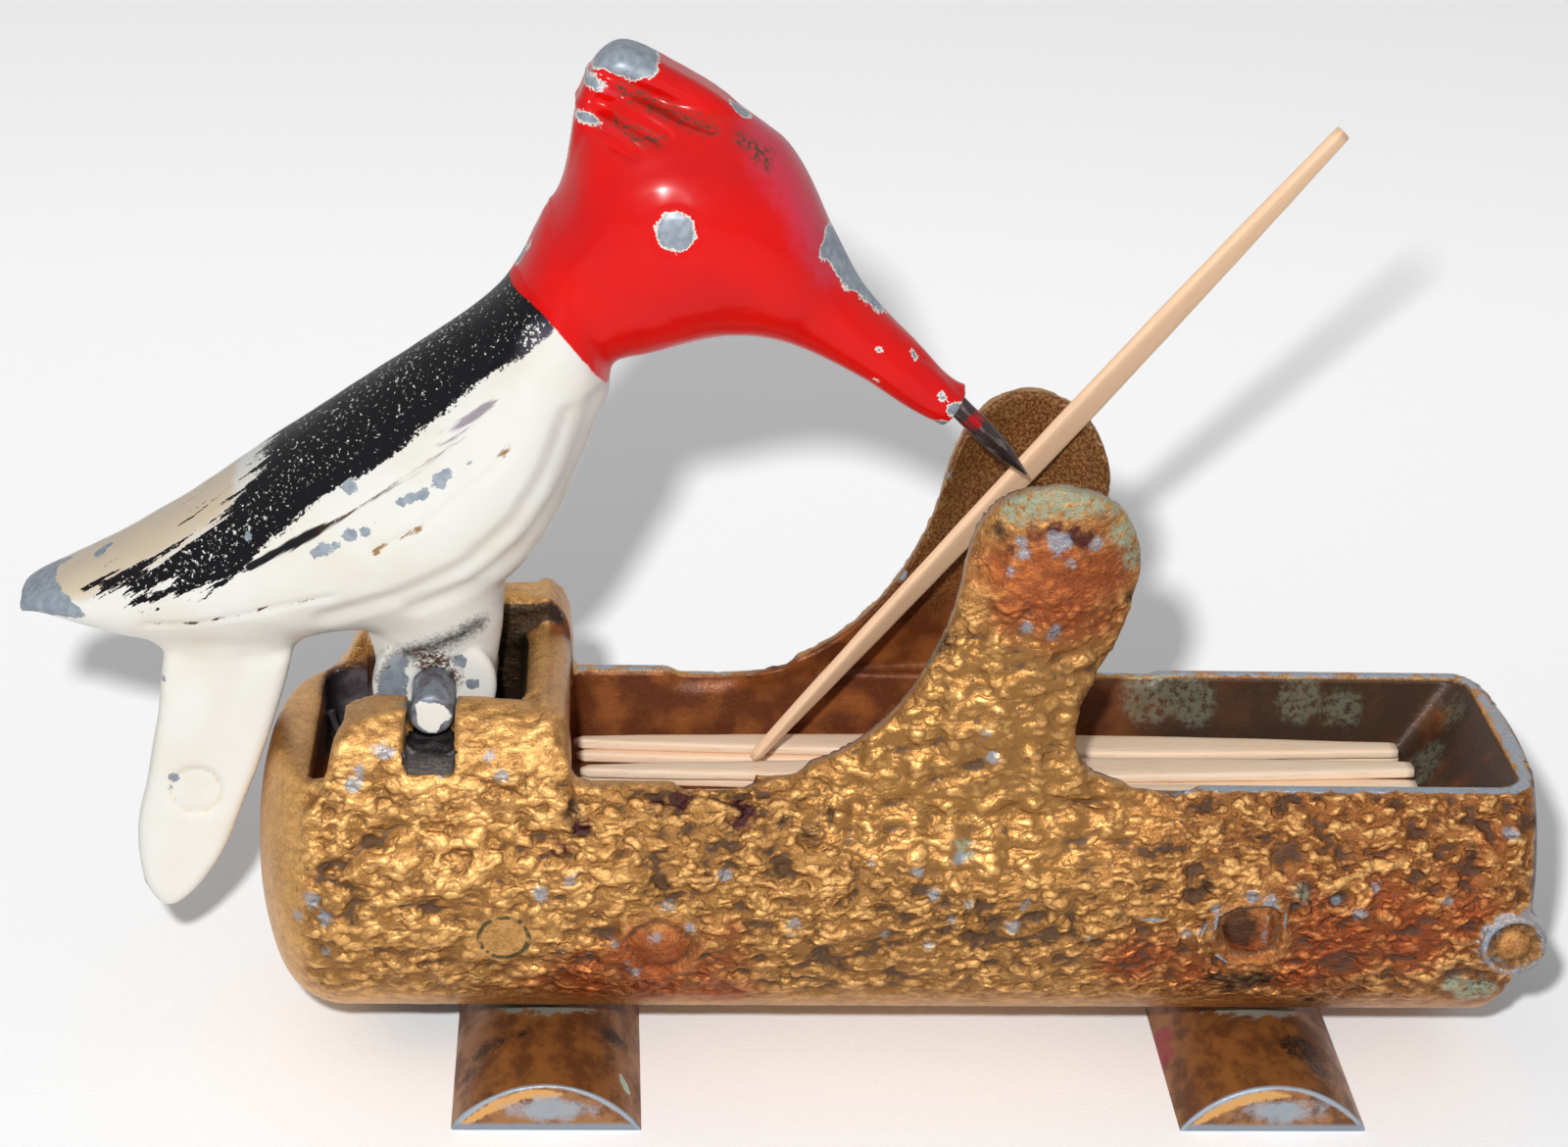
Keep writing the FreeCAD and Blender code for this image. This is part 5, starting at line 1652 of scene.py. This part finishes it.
def birch():
    material, tree, surface = new_material("birch")
    own = node(tree, "ShaderNodeAttribute", attribute_name="own_place").outputs["Vector"]
    tone = stored(tree, "tone")
    shift = node(tree, "ShaderNodeCombineXYZ", {0: times(tree, tone, FIBRE_SHIFT)}).outputs[0]
    own = vectors(tree, "ADD", own, shift)
    wide = noise_at(tree, own, (9.0, 0.8, 0.8), 2.0)
    fine = noise_at(tree, own, (3.5, 0.13, 0.13), 3.0)
    colour = mix(tree, tone, PALE_BIRCH, PEACH_BIRCH)
    colour = mix(tree, between(tree, wide, 0.45, 0.75, 0.0, 0.35), colour, PEACH_BIRCH)
    colour = mix(tree, between(tree, fine, 0.54, 0.70, 0.0, 0.32), colour, DARK_FIBRE)
    fill(tree, surface, {
        "Base Color": colour,
        "Roughness": 0.62,
        "Normal": bump(tree, add_shares(tree, fine, (wide, 0.5)), 0.30, 0.05),
    })
    return material


# %% Lay the toothpicks
LOOSE = [f"toothpick_{number}" for number in range(1, 7)]
LOOSE_TONES = [0.25, 0.10, 0.05, 0.3, 0.2, 0.15]
LIFTED = ["presented_toothpick"]
LIFTED_TONES = [0.85]
BIRCH = birch()
LAYING = laying_tree()
pattern = add_object("toothpick pattern", pick_mesh())
LAYING_INPUTS = {"Toothpick": pattern, "Thickness": 0.98}


def lay(piece_name, names, tones):
    places = [pick_axes(name) for name in names]
    mesh = bpy.data.meshes.new(piece_name)
    mesh.from_pydata([place.to_translation() for place in places], [], [])
    turns = [angle for place in places for angle in place.to_euler()]
    mesh.attributes.new("turn", "FLOAT_VECTOR", "POINT").data.foreach_set("vector", turns)
    store(mesh, "tone", tones)
    return grow(add_object(piece_name, mesh), LAYING, BIRCH, LAYING_INPUTS)


loose = lay("loose_toothpicks", LOOSE, LOOSE_TONES)
place_on(loose, "log", LOOSE)
lifted = lay("lifted_toothpick", LIFTED, LIFTED_TONES)
place_on(lifted, "lifted_pick", LIFTED)
bpy.data.objects.remove(pattern)

# %% [markdown]
# ## Camera, light and cloth
# The camera stands where it sees the object in three quarters from above. A small lamp next to
# it gives the round highlight on the head and the crisp shadows. A soft sun and a pale world fill
# them in. The object stands on a plain white cloth, whose weave is only just visible.

# %% Camera
CAMERA_ELEVATION = math.radians(24.2)
CAMERA_YAW = math.radians(3.9)
CAMERA_ROLL = math.radians(2.3)
CAMERA_AIM = Vector((-0.67, 0.0, 36.1)) * MM
CAMERA_DISTANCE = 226 * MM
LENS_MM = 74.34

forward = Vector((
    math.sin(CAMERA_YAW) * math.cos(CAMERA_ELEVATION),
    math.cos(CAMERA_YAW) * math.cos(CAMERA_ELEVATION),
    -math.sin(CAMERA_ELEVATION),
))
level = Vector((math.cos(CAMERA_YAW), -math.sin(CAMERA_YAW), 0))
upright = level.cross(forward)
right = level * math.cos(CAMERA_ROLL) + upright * math.sin(CAMERA_ROLL)
up = upright * math.cos(CAMERA_ROLL) - level * math.sin(CAMERA_ROLL)
camera_data = bpy.data.cameras.new("camera")
camera_data.lens = LENS_MM
camera_data.sensor_width = 36
camera_data.clip_start = 0.01
camera = add_object("camera", camera_data)
spot = CAMERA_AIM - forward * CAMERA_DISTANCE
camera.matrix_world = axes_matrix(right, up, -forward, spot)
bpy.context.scene.camera = camera

# %% Lights
FLASH_MM = (-30.0, -204.5, 150.0)
FLASH_RADIUS_MM = 4.5
FLASH_ENERGY = 29
SUN_FROM = (-60, -60, 400)
SUN_IRRADIANCE = 0.35
SUN_ANGLE = math.radians(100)


def sun(name):
    """Far soft light that fills the flash's shadows from above."""
    data = bpy.data.lights.new(name, "SUN")
    data.energy = SUN_IRRADIANCE
    data.angle = SUN_ANGLE
    light = add_object(name, data)
    light.rotation_mode = "QUATERNION"
    light.rotation_quaternion = (-Vector(SUN_FROM)).to_track_quat("-Z", "Y")


def flash(name):
    """Small lamp just above and left of the lens, as bright on the far cloth as on the bird."""
    data = bpy.data.lights.new(name, "POINT")
    data.energy = FLASH_ENERGY
    data.shadow_soft_size = FLASH_RADIUS_MM * MM
    data.use_nodes = True
    steady = node(data.node_tree, "ShaderNodeLightFalloff", {"Strength": 1.0}).outputs["Constant"]
    fill(data.node_tree, data.node_tree.nodes["Emission"], {"Strength": steady})
    add_object(name, data).location = Vector(FLASH_MM) * MM


flash("flash beside the lens")
sun("soft light from above")

# %% World
WORLD_TINT = (0.97, 0.98, 1.0, 1)
WORLD_SHOWN = 0.88
WORLD_REAL = 0.17


def seen_ray(tree):
    """1 for a camera or mirror ray, 0 for the rays that carry light to the object."""
    path = node(tree, "ShaderNodeLightPath").outputs
    return most(tree, path["Is Camera Ray"], path["Is Transmission Ray"], path["Is Glossy Ray"])


world = bpy.data.worlds.new("studio")
world.use_nodes = True
bpy.context.scene.world = world
sky = world.node_tree
strength = blend_numbers(sky, seen_ray(sky), WORLD_REAL, WORLD_SHOWN)
fill(sky, sky.nodes["Background"], {"Color": WORLD_TINT, "Strength": strength})
bpy.context.scene.view_settings.view_transform = "Standard"

# %% White cloth, with colours above 1 only for the rays that look at it
CLOTH_WHITE = (0.93, 0.93, 0.93, 1)
CLOTH_NEAR = ((1.12, 1.15, 1.17, 1), (1.19, 1.22, 1.24, 1))
CLOTH_FAR = ((1.64, 1.63, 1.62, 1), (1.71, 1.70, 1.69, 1))
CLOTH_NEAR_Y = -90.0
CLOTH_FAR_Y = 190.0
CLOTH_HALF = 3000 * MM


def cloth_material():
    material, tree, surface = new_material("white_cloth")
    thread = grain(tree, 2.2, 2.0, 0.5, 0.0, (1, 1.6, 1))
    near, far = (mix(tree, thread, *shades) for shades in (CLOTH_NEAR, CLOTH_FAR))
    depth = between(tree, own_mm(tree, "Y"), CLOTH_NEAR_Y, CLOTH_FAR_Y)
    fill(tree, surface, {
        "Base Color": mix(tree, seen_ray(tree), CLOTH_WHITE, mix(tree, depth, near, far)),
        "Roughness": 0.95,
        "Specular IOR Level": 0.1,
        "Normal": bump(tree, thread, 0.2, 0.1),
    })
    return material


floor_mesh = bpy.data.meshes.new("cloth")
sides = ((-1, -1), (1, -1), (1, 1), (-1, 1))
corners = [(x * CLOTH_HALF, y * CLOTH_HALF, 0) for x, y in sides]
floor_mesh.from_pydata(corners, [], [(0, 1, 2, 3)])
floor = add_object("cloth", floor_mesh)
dress(floor, cloth_material())
